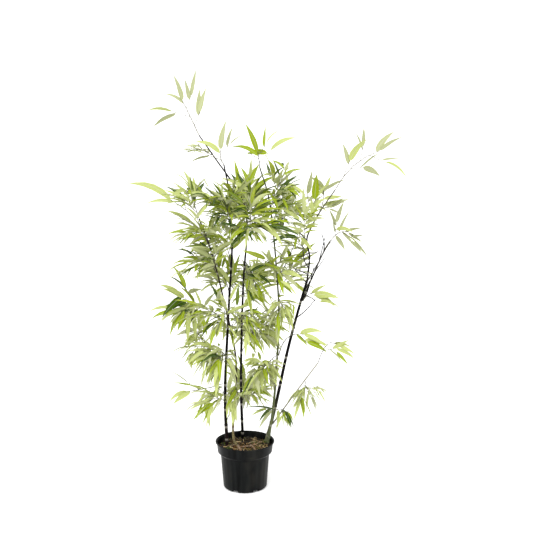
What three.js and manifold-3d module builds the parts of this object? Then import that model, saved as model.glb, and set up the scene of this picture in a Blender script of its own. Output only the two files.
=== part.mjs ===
// Black bamboo in a round nursery pot: five canes rise from one root through the soil,
// three of their branches carry several sprays, and every spray ends in fans of leaves.
// Millimetres, +Z up, the front faces -Y, and the origin is the middle of the pot's
// flat underside.
import * as THREE from "three";
import { mergeVertices } from "three/addons/utils/BufferGeometryUtils.js";
import Module from "manifold-3d";

const wasm = await Module();
wasm.setup();

// ------------------------------------------------------------ driving dimensions

const GAP = 0.3; // between neighbouring solids
const UP = new THREE.Vector3(0, 0, 1);
const FRONT = new THREE.Vector3(0, -1, 0);
const DEGREE = Math.PI / 180;

const POT = {
  height: 155,
  rimRadius: 95,
  lip: 4, // the rim stands out this far from the collar
  collarHeight: 34, // the upright band under the rim
  collarRadius: 88,
  shoulder: 8, // the slope between body and collar
  bodyTopRadius: 79,
  bodyFootRadius: 70.5,
  bevel: 5,
  wall: 2.2,
  facets: 24,
  feet: 6,
  notchWidth: 20, // between two feet, where water drains
  notchHeight: 8,
  notchDepth: 9,
  firstNotch: -57, // degrees from +X
  floor: 11,
};
const SOIL = { level: 135, edge: 3 };

// A cane's internodes are short at its foot and soon reach their full length. A ring
// stands out where two of them meet, and branches leave a cane only at its rings.
const CANE = {
  sides: 5,
  shortInternode: 30,
  fullInternode: 95,
  growth: 1.4,
  ring: 1.22,
  ringHalf: 3.5,
  flare: 1.3,
  flareHeight: 12,
};
const BOUGH = { sides: 4, steps: 4, radius: 1.9, tipRadius: 1.5 };
const STEM = { steps: 4, radius: 1.5, tipRadius: 1.0 };
const TWIG = {
  radius: 1.1,
  tipRadius: 0.8,
  least: 42, // lengths
  most: 64,
  angle: 48,
  share: 0.82, // the part of a stem, from its end, that carries twigs
  last: 0.4, // the last twig stays this share of a space short of that
  swing: 40, // degrees by which a flat spray's twigs leave its plane
};
const LEAF = {
  length: 86,
  width: 0.185, // widths, depths and places are shares of the length
  thickness: 0.02,
  belly: 0.36,
  keel: 0.3,
  least: 0.68,
  most: 1.2,
  droop: 0.22,
  leastDroop: 0.3,
};
const FAN = {
  leaves: 4,
  flatLeaves: 2,
  step: 27, // degrees between neighbouring leaves
  flatStep: 34,
  stagger: 11,
  sunk: 3,
  roll: 40,
  tries: 4,
  crossing: 0.4, // leaves of two fans stay apart by this share of their half widths
};
const GOLDEN = 137.5;

// Canes start in the soil, where their first point needs no height. The branches start
// on a cane. Points are the places they pass; radius is at the foot and at the tip.
const LIMBS = [
  {
    name: "cane_left",
    points: [
      [-58, -4], [-62, -6, 330], [-48, -8, 600], [-36, -10, 798],
      [-42, -18, 950], [-58, -32, 1050],
    ],
    radius: [4.6, 1.7],
  },
  {
    name: "cane_rear",
    points: [
      [-9, 58], [-13, 46, 350], [-4, 26, 650], [10, 20, 856],
      [-12, 30, 949], [-90, 55, 1062], [-139, 60, 1132],
    ],
    radius: [3.9, 1.6],
  },
  {
    name: "cane_thin",
    points: [
      [-22, -14], [-38, -12, 190], [-26, -14, 420], [-62, -34, 626],
      [-100, -42, 788], [-134, -45, 885],
    ],
    radius: [3.1, 1.6],
  },
  {
    name: "cane_right",
    points: [[74, 18], [95, 6, 300], [109, 0, 540], [104, 4, 690], [82, 15, 920], [50, 4, 1040]],
    radius: [3.4, 1.6],
  },
  {
    name: "cane_leaning",
    points: [[67, 38], [98, 26, 260], [137, 10, 451], [174, 4, 598], [198, 0, 683]],
    radius: [4.7, 3.2],
  },
  {
    name: "branch_upright",
    on: "cane_leaning",
    at: "tip",
    points: [[205, -10, 760], [196, -20, 806], [202, -30, 842], [235, -40, 906], [280, -40, 973]],
    radius: [2.4, 1.6],
  },
  {
    name: "branch_right",
    on: "cane_leaning",
    at: 640,
    points: [[228, 22, 720], [255, 40, 776], [271, 50, 800]],
    radius: [2.0, 1.6],
  },
  {
    name: "branch_low",
    on: "cane_leaning",
    at: 215,
    points: [[173, -40, 344], [231, -80, 438]],
    radius: [2.0, 1.6],
  },
];

// Each spray leaves its limb at a height, arches to `end`, and points along `heading`
// there. Its first stretch, where `bough` gives a share, is a bare bough. `shoots` side
// twigs and the end carry `fan` leaves each. A flat spray spreads across the front.
const SPRAYS = [
  {
    name: "top", on: "cane_rear", at: "tip", end: [-190, 62, 1240], heading: [-0.45, 0, 0.9],
    shoots: 3, flat: true, leaf: 1.15, seed: 742,
  },
  {
    name: "top_low", on: "cane_rear", at: 1100, end: [-150, 80, 1088], heading: [-0.9, 0.3, 0.1],
    shoots: 1, fan: 3, leaf: 0.6, seed: 64,
  },
  {
    name: "peak_left", on: "cane_left", at: "tip", end: [-66, -42, 1098], heading: [0.35, 0, 0.93],
    shoots: 2, flat: true, leaf: 1.05, seed: 908,
  },
  {
    name: "peak_right", on: "cane_right", at: "tip", end: [44, 0, 1085], heading: [-0.25, 0, 0.97],
    shoots: 3, flat: true, leaf: 1.1, seed: 908,
  },
  {
    name: "crown_left", on: "cane_left", at: 850, end: [-65, -90, 965], heading: [-0.4, -0.3, 0.8],
    shoots: 6, seed: 101,
  },
  {
    name: "crown_middle", on: "cane_rear", at: 850, end: [20, -10, 960], heading: [0.2, -0.3, 0.9],
    shoots: 6, seed: 26,
  },
  {
    name: "crown_right", on: "cane_right", at: 850, end: [115, -50, 1000], heading: [0.5, -0.4, 0.7],
    shoots: 5, seed: 14,
  },
  {
    name: "crown_far", on: "cane_right", at: 780, end: [160, 100, 900], heading: [0.7, 0.5, 0.4],
    shoots: 5, seed: 78,
  },
  {
    name: "crown_back", on: "cane_rear", at: 830, end: [-20, 170, 915], heading: [-0.2, 0.9, 0.3],
    bough: 0.4, shoots: 5, seed: 12,
  },
  {
    name: "crown_front", on: "cane_left", at: 790, end: [40, -170, 900], heading: [0.6, -0.7, 0.2],
    bough: 0.4, shoots: 6, seed: 75,
  },
  {
    name: "upper_left", on: "cane_thin", at: "tip", end: [-152, -50, 960], heading: [-0.1, 0, 1],
    shoots: 4, seed: 91,
  },
  {
    name: "long_left", on: "cane_thin", at: 850, end: [-226, 20, 934], heading: [-0.87, 0, 0.45],
    bough: 0.5, shoots: 1, flat: true, leaf: 1.5, seed: 1253,
  },
  {
    name: "left_high", on: "cane_thin", at: 780, end: [-140, -60, 858], heading: [-0.9, -0.2, 0.3],
    shoots: 3, seed: 21,
  },
  {
    name: "left_back", on: "cane_left", at: 750, end: [-90, 100, 830], heading: [-0.5, 0.7, 0.3],
    shoots: 3, seed: 45,
  },
  {
    name: "left_fan", on: "cane_thin", at: 690, end: [-125, -60, 755], heading: [-0.9, -0.2, -0.1],
    shoots: 5, seed: 3,
  },
  {
    name: "left_rear", on: "cane_left", at: 610, end: [-85, 120, 680], heading: [-0.5, 0.8, 0.1],
    shoots: 4, seed: 32,
  },
  {
    name: "left_long", on: "cane_left", at: 560, end: [-180, -10, 614], heading: [-1, 0, -0.05],
    bough: 0.45, shoots: 2, fan: 3, flat: true, leaf: 1.2, seed: 411,
  },
  {
    name: "left_front", on: "cane_left", at: 520, end: [-78, -120, 600], heading: [-0.5, -0.8, 0.1],
    shoots: 4, seed: 10,
  },
  {
    name: "left_low", on: "cane_left", at: 430, end: [-150, 60, 465], heading: [-0.9, 0.3, 0],
    bough: 0.45, shoots: 3, seed: 47,
  },
  {
    name: "low_front", on: "cane_left", at: 400, end: [-80, -110, 460], heading: [-0.4, -0.8, 0],
    shoots: 4, seed: 97,
  },
  {
    name: "low_left", on: "cane_left", at: 320, end: [-185, -20, 326], heading: [-0.95, 0, -0.1],
    shoots: 2, flat: true, seed: 346,
  },
  {
    name: "foot_left", on: "cane_thin", at: 260, end: [-115, -75, 310], heading: [-0.7, -0.3, -0.5],
    shoots: 2, seed: 58,
  },
  {
    name: "mid_front", on: "cane_thin", at: 540, end: [-10, -125, 575], heading: [0.3, -0.8, -0.3],
    shoots: 3, seed: 28,
  },
  {
    name: "foot_front", on: "cane_thin", at: 330, end: [-20, -75, 330], heading: [0.1, -0.6, -0.8],
    shoots: 1, seed: 55,
  },
  {
    name: "mid_back", on: "cane_rear", at: 470, end: [60, 120, 500], heading: [0.6, 0.6, -0.2],
    shoots: 3, seed: 35,
  },
  {
    name: "mid_star", on: "cane_right", at: 400, end: [58, -130, 430], heading: [-0.3, -0.9, -0.2],
    shoots: 2, seed: 105,
  },
  {
    name: "foot_back", on: "cane_rear", at: 300, end: [10, 120, 280], heading: [0.2, 0.6, -0.7],
    shoots: 2, seed: 78,
  },
  {
    name: "heart_back", on: "cane_rear", at: 600, end: [40, 110, 640], heading: [0.4, 0.8, 0.2],
    shoots: 2, seed: 39,
  },
  {
    name: "heart_front", on: "cane_rear", at: 680, end: [35, -90, 700], heading: [0.4, -0.8, 0],
    shoots: 2, seed: 108,
  },
  {
    name: "right_front", on: "cane_right", at: 720, end: [85, -90, 735], heading: [-0.2, -0.9, -0.2],
    shoots: 3, seed: 23,
  },
  {
    name: "right_back", on: "cane_right", at: 640, end: [160, 100, 690], heading: [0.6, 0.7, 0.1],
    shoots: 3, seed: 96,
  },
  {
    name: "right_mid", on: "cane_right", at: 590, end: [120, -90, 620], heading: [0.3, -0.8, -0.4],
    shoots: 1, seed: 69,
  },
  {
    name: "right_low", on: "cane_right", at: 480, end: [188, -60, 524], heading: [0.95, -0.1, -0.2],
    bough: 0.55, shoots: 2, flat: true, seed: 135,
  },
  {
    name: "branch_foot", on: "branch_low", at: 262, end: [120, -35, 262], heading: [0.4, -0.4, -0.8],
    shoots: 1, seed: 96,
  },
  {
    name: "branch_mid", on: "branch_low", at: 344, end: [200, -70, 350], heading: [0.8, -0.2, -0.4],
    shoots: 1, seed: 182,
  },
  {
    name: "branch_end", on: "branch_low", at: "tip", end: [292, -110, 505], heading: [0.7, -0.2, -0.6],
    shoots: 1, flat: true, seed: 798,
  },
  {
    name: "lean_right", on: "cane_leaning", at: 590, end: [224, -10, 646], heading: [0.95, 0, -0.05],
    bough: 0.5, shoots: 1, flat: true, seed: 246,
  },
  {
    name: "arch_right", on: "branch_right", at: "tip", end: [332, 60, 826], heading: [0.85, 0, -0.45],
    shoots: 2, flat: true, seed: 1050,
  },
  {
    name: "far_front", on: "branch_upright", at: 800, end: [195, -120, 870], heading: [0.3, -0.8, 0.2],
    shoots: 2, seed: 53,
  },
  {
    name: "far_back", on: "branch_upright", at: 760, end: [160, 80, 800], heading: [-0.5, 0.7, 0.2],
    shoots: 3, seed: 72,
  },
  {
    name: "far_peak", on: "branch_upright", at: 850, end: [196, -40, 962], heading: [-0.1, 0, 1],
    shoots: 1, flat: true, seed: 313,
  },
  {
    name: "far_upright", on: "branch_upright", at: 906, end: [250, 20, 962], heading: [0, 0.1, 1],
    shoots: 1, flat: true, seed: 1050,
  },
  {
    name: "far_right", on: "branch_upright", at: "tip", end: [420, 0, 1090], heading: [0.95, 0, 0.3],
    shoots: 4, flat: true, leaf: 1.1, seed: 1589,
  },
];

// ------------------------------------------------------------ shared helpers

const vector = (values) => new THREE.Vector3(...values);

// A repeatable run of numbers from 0 to 1.
function seeded(seed) {
  let state = seed * 977 + 31;
  const next = () => {
    state = (state * 1664525 + 1013904223) % 4294967296;
    return state / 4294967296;
  };
  next();
  next();
  return next;
}

// The part of `direction` that stands square to `axis`, at length 1.
function squareTo(axis, direction) {
  const square = direction.clone().addScaledVector(axis, -direction.dot(axis));
  if (square.lengthSq() < 1e-6) {
    return squareTo(axis, new THREE.Vector3(1, 0, 0));
  }
  return square.normalize();
}

// A copy of `direction` turned about `axis` by an angle in degrees.
function turned(direction, axis, degrees) {
  return direction.clone().applyAxisAngle(axis, degrees * DEGREE);
}

// The place and direction at a distance along a line of points.
function along(points, distance) {
  let left = distance;
  for (let i = 1; i < points.length; i += 1) {
    const step = points[i].clone().sub(points[i - 1]);
    const length = step.length();
    if (left <= length || i === points.length - 1) {
      const direction = step.divideScalar(length);
      return { at: points[i - 1].clone().addScaledVector(direction, left), direction };
    }
    left -= length;
  }
  return undefined;
}

function lengthOf(points) {
  let total = 0;
  for (let i = 1; i < points.length; i += 1) {
    total += points[i].distanceTo(points[i - 1]);
  }
  return total;
}

// The shortest distance between two straight lines a-b and c-d that both end.
function distanceBetween(a, b, c, d) {
  const u = b.clone().sub(a);
  const v = d.clone().sub(c);
  const w = a.clone().sub(c);
  const uu = u.dot(u);
  const uv = u.dot(v);
  const vv = v.dot(v);
  const uw = u.dot(w);
  const vw = v.dot(w);
  const clamp = (x) => Math.min(1, Math.max(0, x));
  const spread = uu * vv - uv * uv;
  let s = spread < 1e-9 ? 0 : clamp((uv * vw - vv * uw) / spread);
  const t = clamp((uv * s + vw) / vv);
  s = clamp((uv * t - uw) / uu);
  return w.addScaledVector(u, s).addScaledVector(v, -t).length();
}

// A closed mesh from points and triangles.
function meshOf(points, triangles) {
  const geometry = new THREE.BufferGeometry();
  const positions = points.flatMap((point) => point.toArray());
  geometry.setAttribute("position", new THREE.Float32BufferAttribute(positions, 3));
  geometry.setIndex(triangles.flat());
  return geometry;
}

// A tapering tube with a flat end at both. A station is { at, radius }.
function tube(stations, sides) {
  const points = [];
  let normal = new THREE.Vector3(1, 0, 0);
  stations.forEach((station, i) => {
    const before = stations[Math.max(0, i - 1)].at;
    const after = stations[Math.min(stations.length - 1, i + 1)].at;
    const direction = station.direction ?? after.clone().sub(before).normalize();
    normal = squareTo(direction, normal);
    for (let k = 0; k < sides; k += 1) {
      const out = turned(normal, direction, (360 * k) / sides);
      points.push(station.at.clone().addScaledVector(out, station.radius));
    }
  });
  const triangles = [];
  const last = points.length - sides;
  for (let ring = 0; ring < last; ring += sides) {
    for (let k = 0; k < sides; k += 1) {
      const next = (k + 1) % sides;
      triangles.push([ring + k, ring + next, ring + sides + k]);
      triangles.push([ring + next, ring + sides + next, ring + sides + k]);
    }
  }
  for (let k = 1; k < sides - 1; k += 1) {
    triangles.push([0, k + 1, k]);
    triangles.push([last, last + k, last + k + 1]);
  }
  return meshOf(points, triangles);
}

// A mesh with only positions, whose vertices are shared and whose flat triangles are gone.
function shared(geometry) {
  const bare = geometry.clone();
  bare.deleteAttribute("normal");
  bare.deleteAttribute("uv");
  const merged = mergeVertices(bare, 1e-3);
  const index = merged.index.array;
  const kept = [];
  for (let i = 0; i < index.length; i += 3) {
    const [a, b, c] = index.slice(i, i + 3);
    if (a !== b && b !== c && c !== a) {
      kept.push(a, b, c);
    }
  }
  merged.setIndex(kept);
  return merged;
}

function toSolid(geometry) {
  const merged = shared(geometry);
  const vertProperties = new Float32Array(merged.attributes.position.array);
  const triVerts = new Uint32Array(merged.index.array);
  return new wasm.Manifold(new wasm.Mesh({ numProp: 3, vertProperties, triVerts }));
}

function toGeometry(solid) {
  const mesh = solid.getMesh();
  const geometry = new THREE.BufferGeometry();
  geometry.setAttribute("position", new THREE.Float32BufferAttribute(mesh.vertProperties, 3));
  geometry.setIndex(Array.from(mesh.triVerts));
  return geometry;
}

// Joins solids and keeps the largest piece, so that loose scraps and sealed hollows go.
function fused(solids) {
  const whole = solids.reduce((sum, solid) => sum.add(solid));
  const pieces = whole.decompose();
  return pieces.reduce((best, piece) => (piece.volume() > best.volume() ? piece : best));
}

// A round body from a profile of [radius, height] that starts and ends on the axis.
function turnedBody(profile) {
  const outline = profile.map(([radius, height]) => new THREE.Vector2(radius, height));
  return new THREE.LatheGeometry(outline, POT.facets).rotateX(90 * DEGREE);
}

// ------------------------------------------------------------ pot and soil

function potGeometry() {
  const shoulderTop = POT.height - POT.collarHeight;
  const inner = POT.bodyFootRadius - POT.wall;
  const profile = [
    [0, 0],
    [POT.bodyFootRadius - POT.bevel, 0],
    [POT.bodyFootRadius, POT.bevel],
    [POT.bodyTopRadius, shoulderTop - POT.shoulder],
    [POT.collarRadius, shoulderTop],
    [POT.rimRadius - POT.lip, POT.height - POT.lip],
    [POT.rimRadius, POT.height - POT.lip],
    [POT.rimRadius, POT.height],
    [POT.rimRadius - POT.wall, POT.height],
    [POT.rimRadius - POT.lip - POT.wall, POT.height - POT.lip],
    [POT.collarRadius - POT.wall, shoulderTop + POT.wall],
    [POT.bodyTopRadius - POT.wall, shoulderTop - POT.shoulder + POT.wall],
    [inner, POT.floor],
    [0, POT.floor],
  ];
  let pot = toSolid(turnedBody(profile));
  for (let i = 0; i < POT.feet; i += 1) {
    const angle = (POT.firstNotch + (360 / POT.feet) * i) * DEGREE;
    const cutter = new THREE.BoxGeometry(2 * POT.notchDepth, POT.notchWidth, 2 * POT.notchHeight);
    cutter.translate(POT.bodyFootRadius, 0, 0).rotateZ(angle);
    pot = pot.subtract(toSolid(cutter));
  }
  return toGeometry(pot);
}

function soilGeometry() {
  const shoulderTop = POT.height - POT.collarHeight;
  const inset = POT.wall + 2 * GAP;
  const top = SOIL.level - GAP;
  const rise = (top - SOIL.edge - shoulderTop) / (POT.collarHeight - POT.lip);
  const edgeRadius = POT.collarRadius - inset + rise * (POT.rimRadius - POT.lip - POT.collarRadius);
  return shared(turnedBody([
    [0, POT.floor + GAP],
    [POT.bodyFootRadius - inset, POT.floor + GAP],
    [POT.bodyTopRadius - inset, shoulderTop - POT.shoulder + inset],
    [POT.collarRadius - inset, shoulderTop + inset],
    [edgeRadius, top - SOIL.edge],
    [edgeRadius - SOIL.edge, top],
    [0, top],
  ]));
}

// ------------------------------------------------------------ canes and branches

const limbs = new Map();
const bars = []; // the straight stretches that are taken: { a, b, radius, owner, fan }

function claim(points, radius, owner, fan) {
  for (let i = 1; i < points.length; i += 1) {
    bars.push({ a: points[i - 1], b: points[i], radius, owner, fan });
  }
}

// Whether a stretch keeps clear of all others. Within its own spray it passes through
// stem and twigs, and comes nearer to the leaves of other fans.
function isFree(a, b, radius, owner, fan) {
  return bars.every((bar) => {
    const reach = radius + bar.radius;
    if (bar.owner !== owner) {
      return distanceBetween(a, b, bar.a, bar.b) > reach + GAP;
    }
    const other = fan && bar.fan && bar.fan !== fan;
    return !other || distanceBetween(a, b, bar.a, bar.b) > reach * FAN.crossing;
  });
}

// The radius of a limb at a distance from its foot, between its rings.
function radiusAt(limb, distance) {
  return THREE.MathUtils.lerp(limb.radius[0], limb.radius[1], distance / limb.length);
}

// Distances of the rings from the foot of a limb.
function ringsOf(length) {
  const rings = [];
  let internode = CANE.shortInternode;
  for (let at = internode; at < length - CANE.shortInternode; at += internode) {
    rings.push(at);
    internode = Math.min(CANE.fullInternode, internode * CANE.growth);
  }
  return rings;
}

// The ring of a limb that is nearest in height, or its tip.
function seatOn(limb, height) {
  if (height === "tip") {
    const tip = along(limb.path, limb.length);
    return { ...tip, radius: 0, face: tip.direction };
  }
  const off = (distance) => Math.abs(along(limb.path, distance).at.z - height);
  const ring = limb.rings.reduce((best, distance) => (off(distance) < off(best) ? distance : best));
  return { ...along(limb.path, ring), radius: radiusAt(limb, ring) * CANE.ring };
}

// Where a side limb of a given radius starts, clear of the limb that it grows from.
function startFrom(seat, toward, radius) {
  if (seat.radius === 0) {
    return seat.at.clone().addScaledVector(seat.direction, GAP);
  }
  const out = squareTo(seat.direction, toward.clone().sub(seat.at));
  return seat.at.clone().addScaledVector(out, seat.radius + radius + GAP);
}

function addLimb({ name, on, at, points, radius }) {
  const passes = points.map(([x, y, z = SOIL.level]) => new THREE.Vector3(x, y, z));
  let face = UP;
  if (on) {
    const seat = seatOn(limbs.get(on), at);
    passes.unshift(startFrom(seat, passes[0], radius[0]));
    face = seat.face;
  }
  const path = new THREE.CatmullRomCurve3(passes, false, "catmullrom", 0.5).getPoints(40);
  const limb = { name, path, radius, face, length: lengthOf(path), onSoil: !on };
  limb.rings = ringsOf(limb.length);
  limbs.set(name, limb);
  claim(path, radius[0] * CANE.ring, name);
  return limb;
}

function limbGeometry(limb) {
  const station = (distance, swell) => {
    const { at, direction } = along(limb.path, distance);
    return { at, direction, radius: radiusAt(limb, distance) * swell };
  };
  const foot = station(0, limb.onSoil ? CANE.flare : 1);
  foot.direction = limb.face ?? foot.direction;
  const stations = [foot, station(CANE.flareHeight, 1)];
  for (const ring of limb.rings) {
    stations.push(station(ring - CANE.ringHalf, 1));
    stations.push(station(ring, CANE.ring));
    stations.push(station(ring + CANE.ringHalf, 1));
  }
  stations.push(station(limb.length, 1));
  return tube(stations, limb.onSoil ? CANE.sides : BOUGH.sides);
}

// ------------------------------------------------------------ boughs and sprays

// The path of a spray from its limb to its end, as evenly spaced points.
function sprayPath(spray) {
  const end = vector(spray.end);
  const seat = seatOn(limbs.get(spray.on), spray.at);
  const first = startFrom(seat, end, BOUGH.radius);
  const heading = vector(spray.heading).normalize();
  const bend = end.clone().addScaledVector(heading, -first.distanceTo(end) / 2);
  const curve = new THREE.QuadraticBezierCurve3(first, bend, end);
  return { path: curve.getSpacedPoints(BOUGH.steps + STEM.steps), face: seat.face };
}

function tapered(points, radius, tipRadius) {
  const last = points.length - 1;
  return points.map((at, i) => ({ at, radius: THREE.MathUtils.lerp(radius, tipRadius, i / last) }));
}

// Points of a path between two distances along it.
function stretch(path, from, to, steps) {
  return Array.from({ length: steps + 1 }, (_, i) => along(path, from + ((to - from) * i) / steps).at);
}

// One blade, flat above and keeled below: root, tip, two edges and the keel.
function leafGeometry({ root, direction, side, length }) {
  const below = direction.clone().cross(side);
  const at = (share, off, amount) => {
    const middle = root.clone().addScaledVector(direction, length * share);
    return middle.addScaledVector(off, length * amount);
  };
  const points = [
    root,
    at(1, side, 0),
    at(LEAF.belly, side, LEAF.width / 2),
    at(LEAF.belly, side, -LEAF.width / 2),
    at(LEAF.keel, below, LEAF.thickness),
  ];
  return meshOf(points, [[0, 2, 3], [0, 3, 4], [0, 4, 2], [1, 3, 2], [1, 4, 3], [1, 2, 4]]);
}

// The leaves near the end of a twig, which spread from side to side in one plane.
function growFan(spray, line, plane, random) {
  const leaves = [];
  const count = spray.fan ?? (spray.flat ? FAN.flatLeaves : FAN.leaves);
  const step = spray.flat ? FAN.flatStep : FAN.step;
  const whole = lengthOf(line);
  for (let i = 0; i < count; i += 1) {
    const rank = Math.ceil(i / 2) * (i % 2 === 0 ? -1 : 1);
    const { at: root, direction: heading } = along(line, whole - FAN.sunk - FAN.stagger * i);
    const size = THREE.MathUtils.lerp(LEAF.least, LEAF.most, random());
    const length = LEAF.length * (spray.leaf ?? 1) * size;
    for (let attempt = 0; attempt < FAN.tries; attempt += 1) {
      const angle = rank * step + (random() - 0.5) * step * (1 + attempt);
      const droop = LEAF.droop * (LEAF.leastDroop + random() + attempt / 2);
      const direction = turned(heading, plane, angle).addScaledVector(UP, -droop).normalize();
      const roll = (random() - 0.5) * 2 * FAN.roll;
      const side = turned(squareTo(direction, plane.clone().cross(direction)), direction, roll);
      const tip = root.clone().addScaledVector(direction, length);
      if (isFree(root, tip, (length * LEAF.width) / 2, spray.name, line)) {
        leaves.push({ root, direction, side, length });
        claim([root, tip], (length * LEAF.width) / 2, spray.name, line);
        break;
      }
    }
  }
  return leaves;
}

// The side twigs of a stem and all its leaves, by a rule that a seed repeats.
function growSpray(spray, stem, random) {
  const length = lengthOf(stem);
  const tipPlane = squareTo(along(stem, length).direction, spray.flat ? FRONT : UP);
  const twigs = [];
  const leaves = growFan(spray, stem, tipPlane, random);
  let roll = spray.flat ? 0 : 360 * random();
  for (let i = 0; i < spray.shoots; i += 1) {
    const share = 1 - (TWIG.share * (i + 1)) / (spray.shoots + TWIG.last);
    const from = along(stem, length * share);
    const across = spray.flat ? FRONT.clone().cross(from.direction) : UP;
    const reach = THREE.MathUtils.lerp(TWIG.least, TWIG.most, random());
    for (let attempt = 0; attempt < FAN.tries; attempt += 1) {
      roll += spray.flat ? 180 + TWIG.swing * (random() - 0.5) : GOLDEN;
      const out = turned(squareTo(from.direction, across), from.direction, roll);
      const heading = turned(from.direction, from.direction.clone().cross(out), TWIG.angle);
      const end = from.at.clone().addScaledVector(heading, reach);
      if (isFree(from.at, end, TWIG.radius, spray.name)) {
        const twig = [from.at, end];
        twigs.push(twig);
        claim(twig, TWIG.radius, spray.name);
        const lean = (random() - 0.5) * 2 * FAN.roll;
        const plane = turned(squareTo(heading, spray.flat ? FRONT : UP), heading, lean);
        leaves.push(...growFan(spray, twig, plane, random));
        break;
      }
    }
  }
  return { twigs, leaves };
}

// Stem, side twigs and leaves of one spray as a single body.
function foliageGeometry({ stem, face }, { twigs, leaves }) {
  const stations = tapered(stem, STEM.radius, STEM.tipRadius);
  stations[0].direction = face;
  const solids = [toSolid(tube(stations, 3))];
  for (const twig of twigs) {
    solids.push(toSolid(tube(tapered(twig, TWIG.radius, TWIG.tipRadius), 3)));
  }
  for (const leaf of leaves) {
    solids.push(toSolid(leafGeometry(leaf)));
  }
  return toGeometry(fused(solids));
}

// ------------------------------------------------------------ assembly

const bamboo = new THREE.Group();

function addPart(name, geometry, color, roughness) {
  const material = new THREE.MeshStandardMaterial({ color, roughness, metalness: 0 });
  const mesh = new THREE.Mesh(geometry, material);
  mesh.name = name;
  bamboo.add(mesh);
}

addPart("pot", potGeometry(), "#1c1e20", 0.5);
addPart("soil", soilGeometry(), "#3b2a1b", 1);

const CANE_COLORS = { cane_right: "#5d6a34", cane_thin: "#3d2b22" };
for (const plan of LIMBS) {
  const limb = addLimb(plan);
  addPart(limb.name, limbGeometry(limb), CANE_COLORS[limb.name] ?? "#17130f", 0.4);
}

// Every bare bough and stem is laid out before the first leaf, so that leaves keep clear.
const stems = SPRAYS.map((spray) => {
  const { path, face } = sprayPath(spray);
  const length = lengthOf(path);
  const bare = length * (spray.bough ?? 0);
  if (spray.bough) {
    const name = `bough_${spray.name}`;
    const bough = stretch(path, 0, bare, BOUGH.steps);
    claim(bough, BOUGH.radius, name);
    const stations = tapered(bough, BOUGH.radius, BOUGH.tipRadius);
    addPart(name, tube(stations, BOUGH.sides), "#2b2a18", 0.5);
  }
  const stem = stretch(path, spray.bough ? bare + GAP : 0, length, STEM.steps);
  claim(stem, STEM.radius, spray.name);
  return { stem, face };
});
SPRAYS.forEach((spray, i) => {
  const growth = growSpray(spray, stems[i].stem, seeded(spray.seed ?? i + 1));
  addPart(`leaves_${spray.name}`, foliageGeometry(stems[i], growth), "#7ea52f", 0.6);
});

export default bamboo;
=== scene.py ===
"""Black bamboo in a nursery pot: the finish of every surface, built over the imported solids.

Blender works in metres. The plant's own measures are in millimetres, as its source has them,
and MM turns them into metres. +Z is up and the front faces -Y.
"""

import itertools
import math
from dataclasses import dataclass

import bmesh
import bpy
import numpy as np
from mathutils import Euler, Matrix, Vector, noise


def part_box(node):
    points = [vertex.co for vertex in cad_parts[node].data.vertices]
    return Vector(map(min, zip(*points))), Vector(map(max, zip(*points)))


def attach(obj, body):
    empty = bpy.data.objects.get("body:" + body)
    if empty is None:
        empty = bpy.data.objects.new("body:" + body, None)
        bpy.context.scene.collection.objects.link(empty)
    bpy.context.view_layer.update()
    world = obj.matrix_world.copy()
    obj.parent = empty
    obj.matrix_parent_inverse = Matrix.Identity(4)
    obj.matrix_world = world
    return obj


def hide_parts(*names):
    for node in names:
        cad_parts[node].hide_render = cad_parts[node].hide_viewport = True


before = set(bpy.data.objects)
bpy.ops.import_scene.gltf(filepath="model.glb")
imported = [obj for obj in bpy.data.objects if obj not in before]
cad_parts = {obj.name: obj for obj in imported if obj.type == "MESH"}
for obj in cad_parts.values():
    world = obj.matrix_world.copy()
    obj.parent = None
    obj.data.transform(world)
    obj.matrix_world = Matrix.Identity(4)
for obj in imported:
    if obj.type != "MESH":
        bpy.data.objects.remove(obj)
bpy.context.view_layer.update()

MM = 0.001

# ------------------------------------------------------------------ camera
# It stands 3.4 m in front of the pot, level with the crown, and looks a little down.

camera_data = bpy.data.cameras.new("camera")
camera_data.sensor_width = 36
camera_data.lens = 72.1
camera = bpy.data.objects.new("camera", camera_data)
camera.location = (0.102, -3.4, 1.4)
camera.rotation_euler = (math.radians(90 - 11.7), 0, 0)
bpy.context.scene.collection.objects.link(camera)
bpy.context.scene.camera = camera

# ------------------------------------------------------------------ nursery pot
# A thin black pot blown in a mould: a rolled rim, an upright collar, a tapering body with
# faint upright flutes, and a ring of foot pads with gaps between them for the water. Its
# section is spun round the axis, and each pad is a part of a turn.

rim_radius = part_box("pot")[1].x
pot_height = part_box("pot")[1].z
POT_STEPS = 144
POT_FLUTES = 24
FLUTE_DEPTH = 0.35 * MM
PAD_COUNT = 6
PAD_MIDDLE = -87  # degrees from +X, where the front pad is
PAD_SPAN = 43
PAD_HEIGHT = 8 * MM
BODY_FOOT = (70.7 * MM, PAD_HEIGHT)
BODY_TOP = (79 * MM, 113 * MM)
COLLAR_FOOT = (88 * MM, 121 * MM)
COLLAR_TOP = (rim_radius - 4 * MM, pot_height - 4 * MM)
POT_WALL = 2.2 * MM
POT_FLOOR = 11 * MM
BASE_RADIUS = 61.5 * MM
BODY_RINGS = (0.08, 0.35, 0.65, 0.92)  # shares of the body's height that its wall has corners at
FLUTE_ENDS = 3 * MM  # the flutes stop this far from both ends of the body
EDGE_ROUNDING = 0.9 * MM
ROUNDED_FROM = 20  # degrees between two walls from which the ring between them is rounded
PAD_STEPS = 16
PAD_SECTION = [
    (BASE_RADIUS - 1 * MM, PAD_HEIGHT + 1 * MM), (BASE_RADIUS - 1 * MM, 0), (65.5 * MM, 0),
    (70.3 * MM, 5 * MM), (70.75 * MM, PAD_HEIGHT + 0.6 * MM),
]
SHARP_EDGE = 50  # degrees from which an edge isn't shaded smooth
SAME_PLACE = 1e-6


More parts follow.
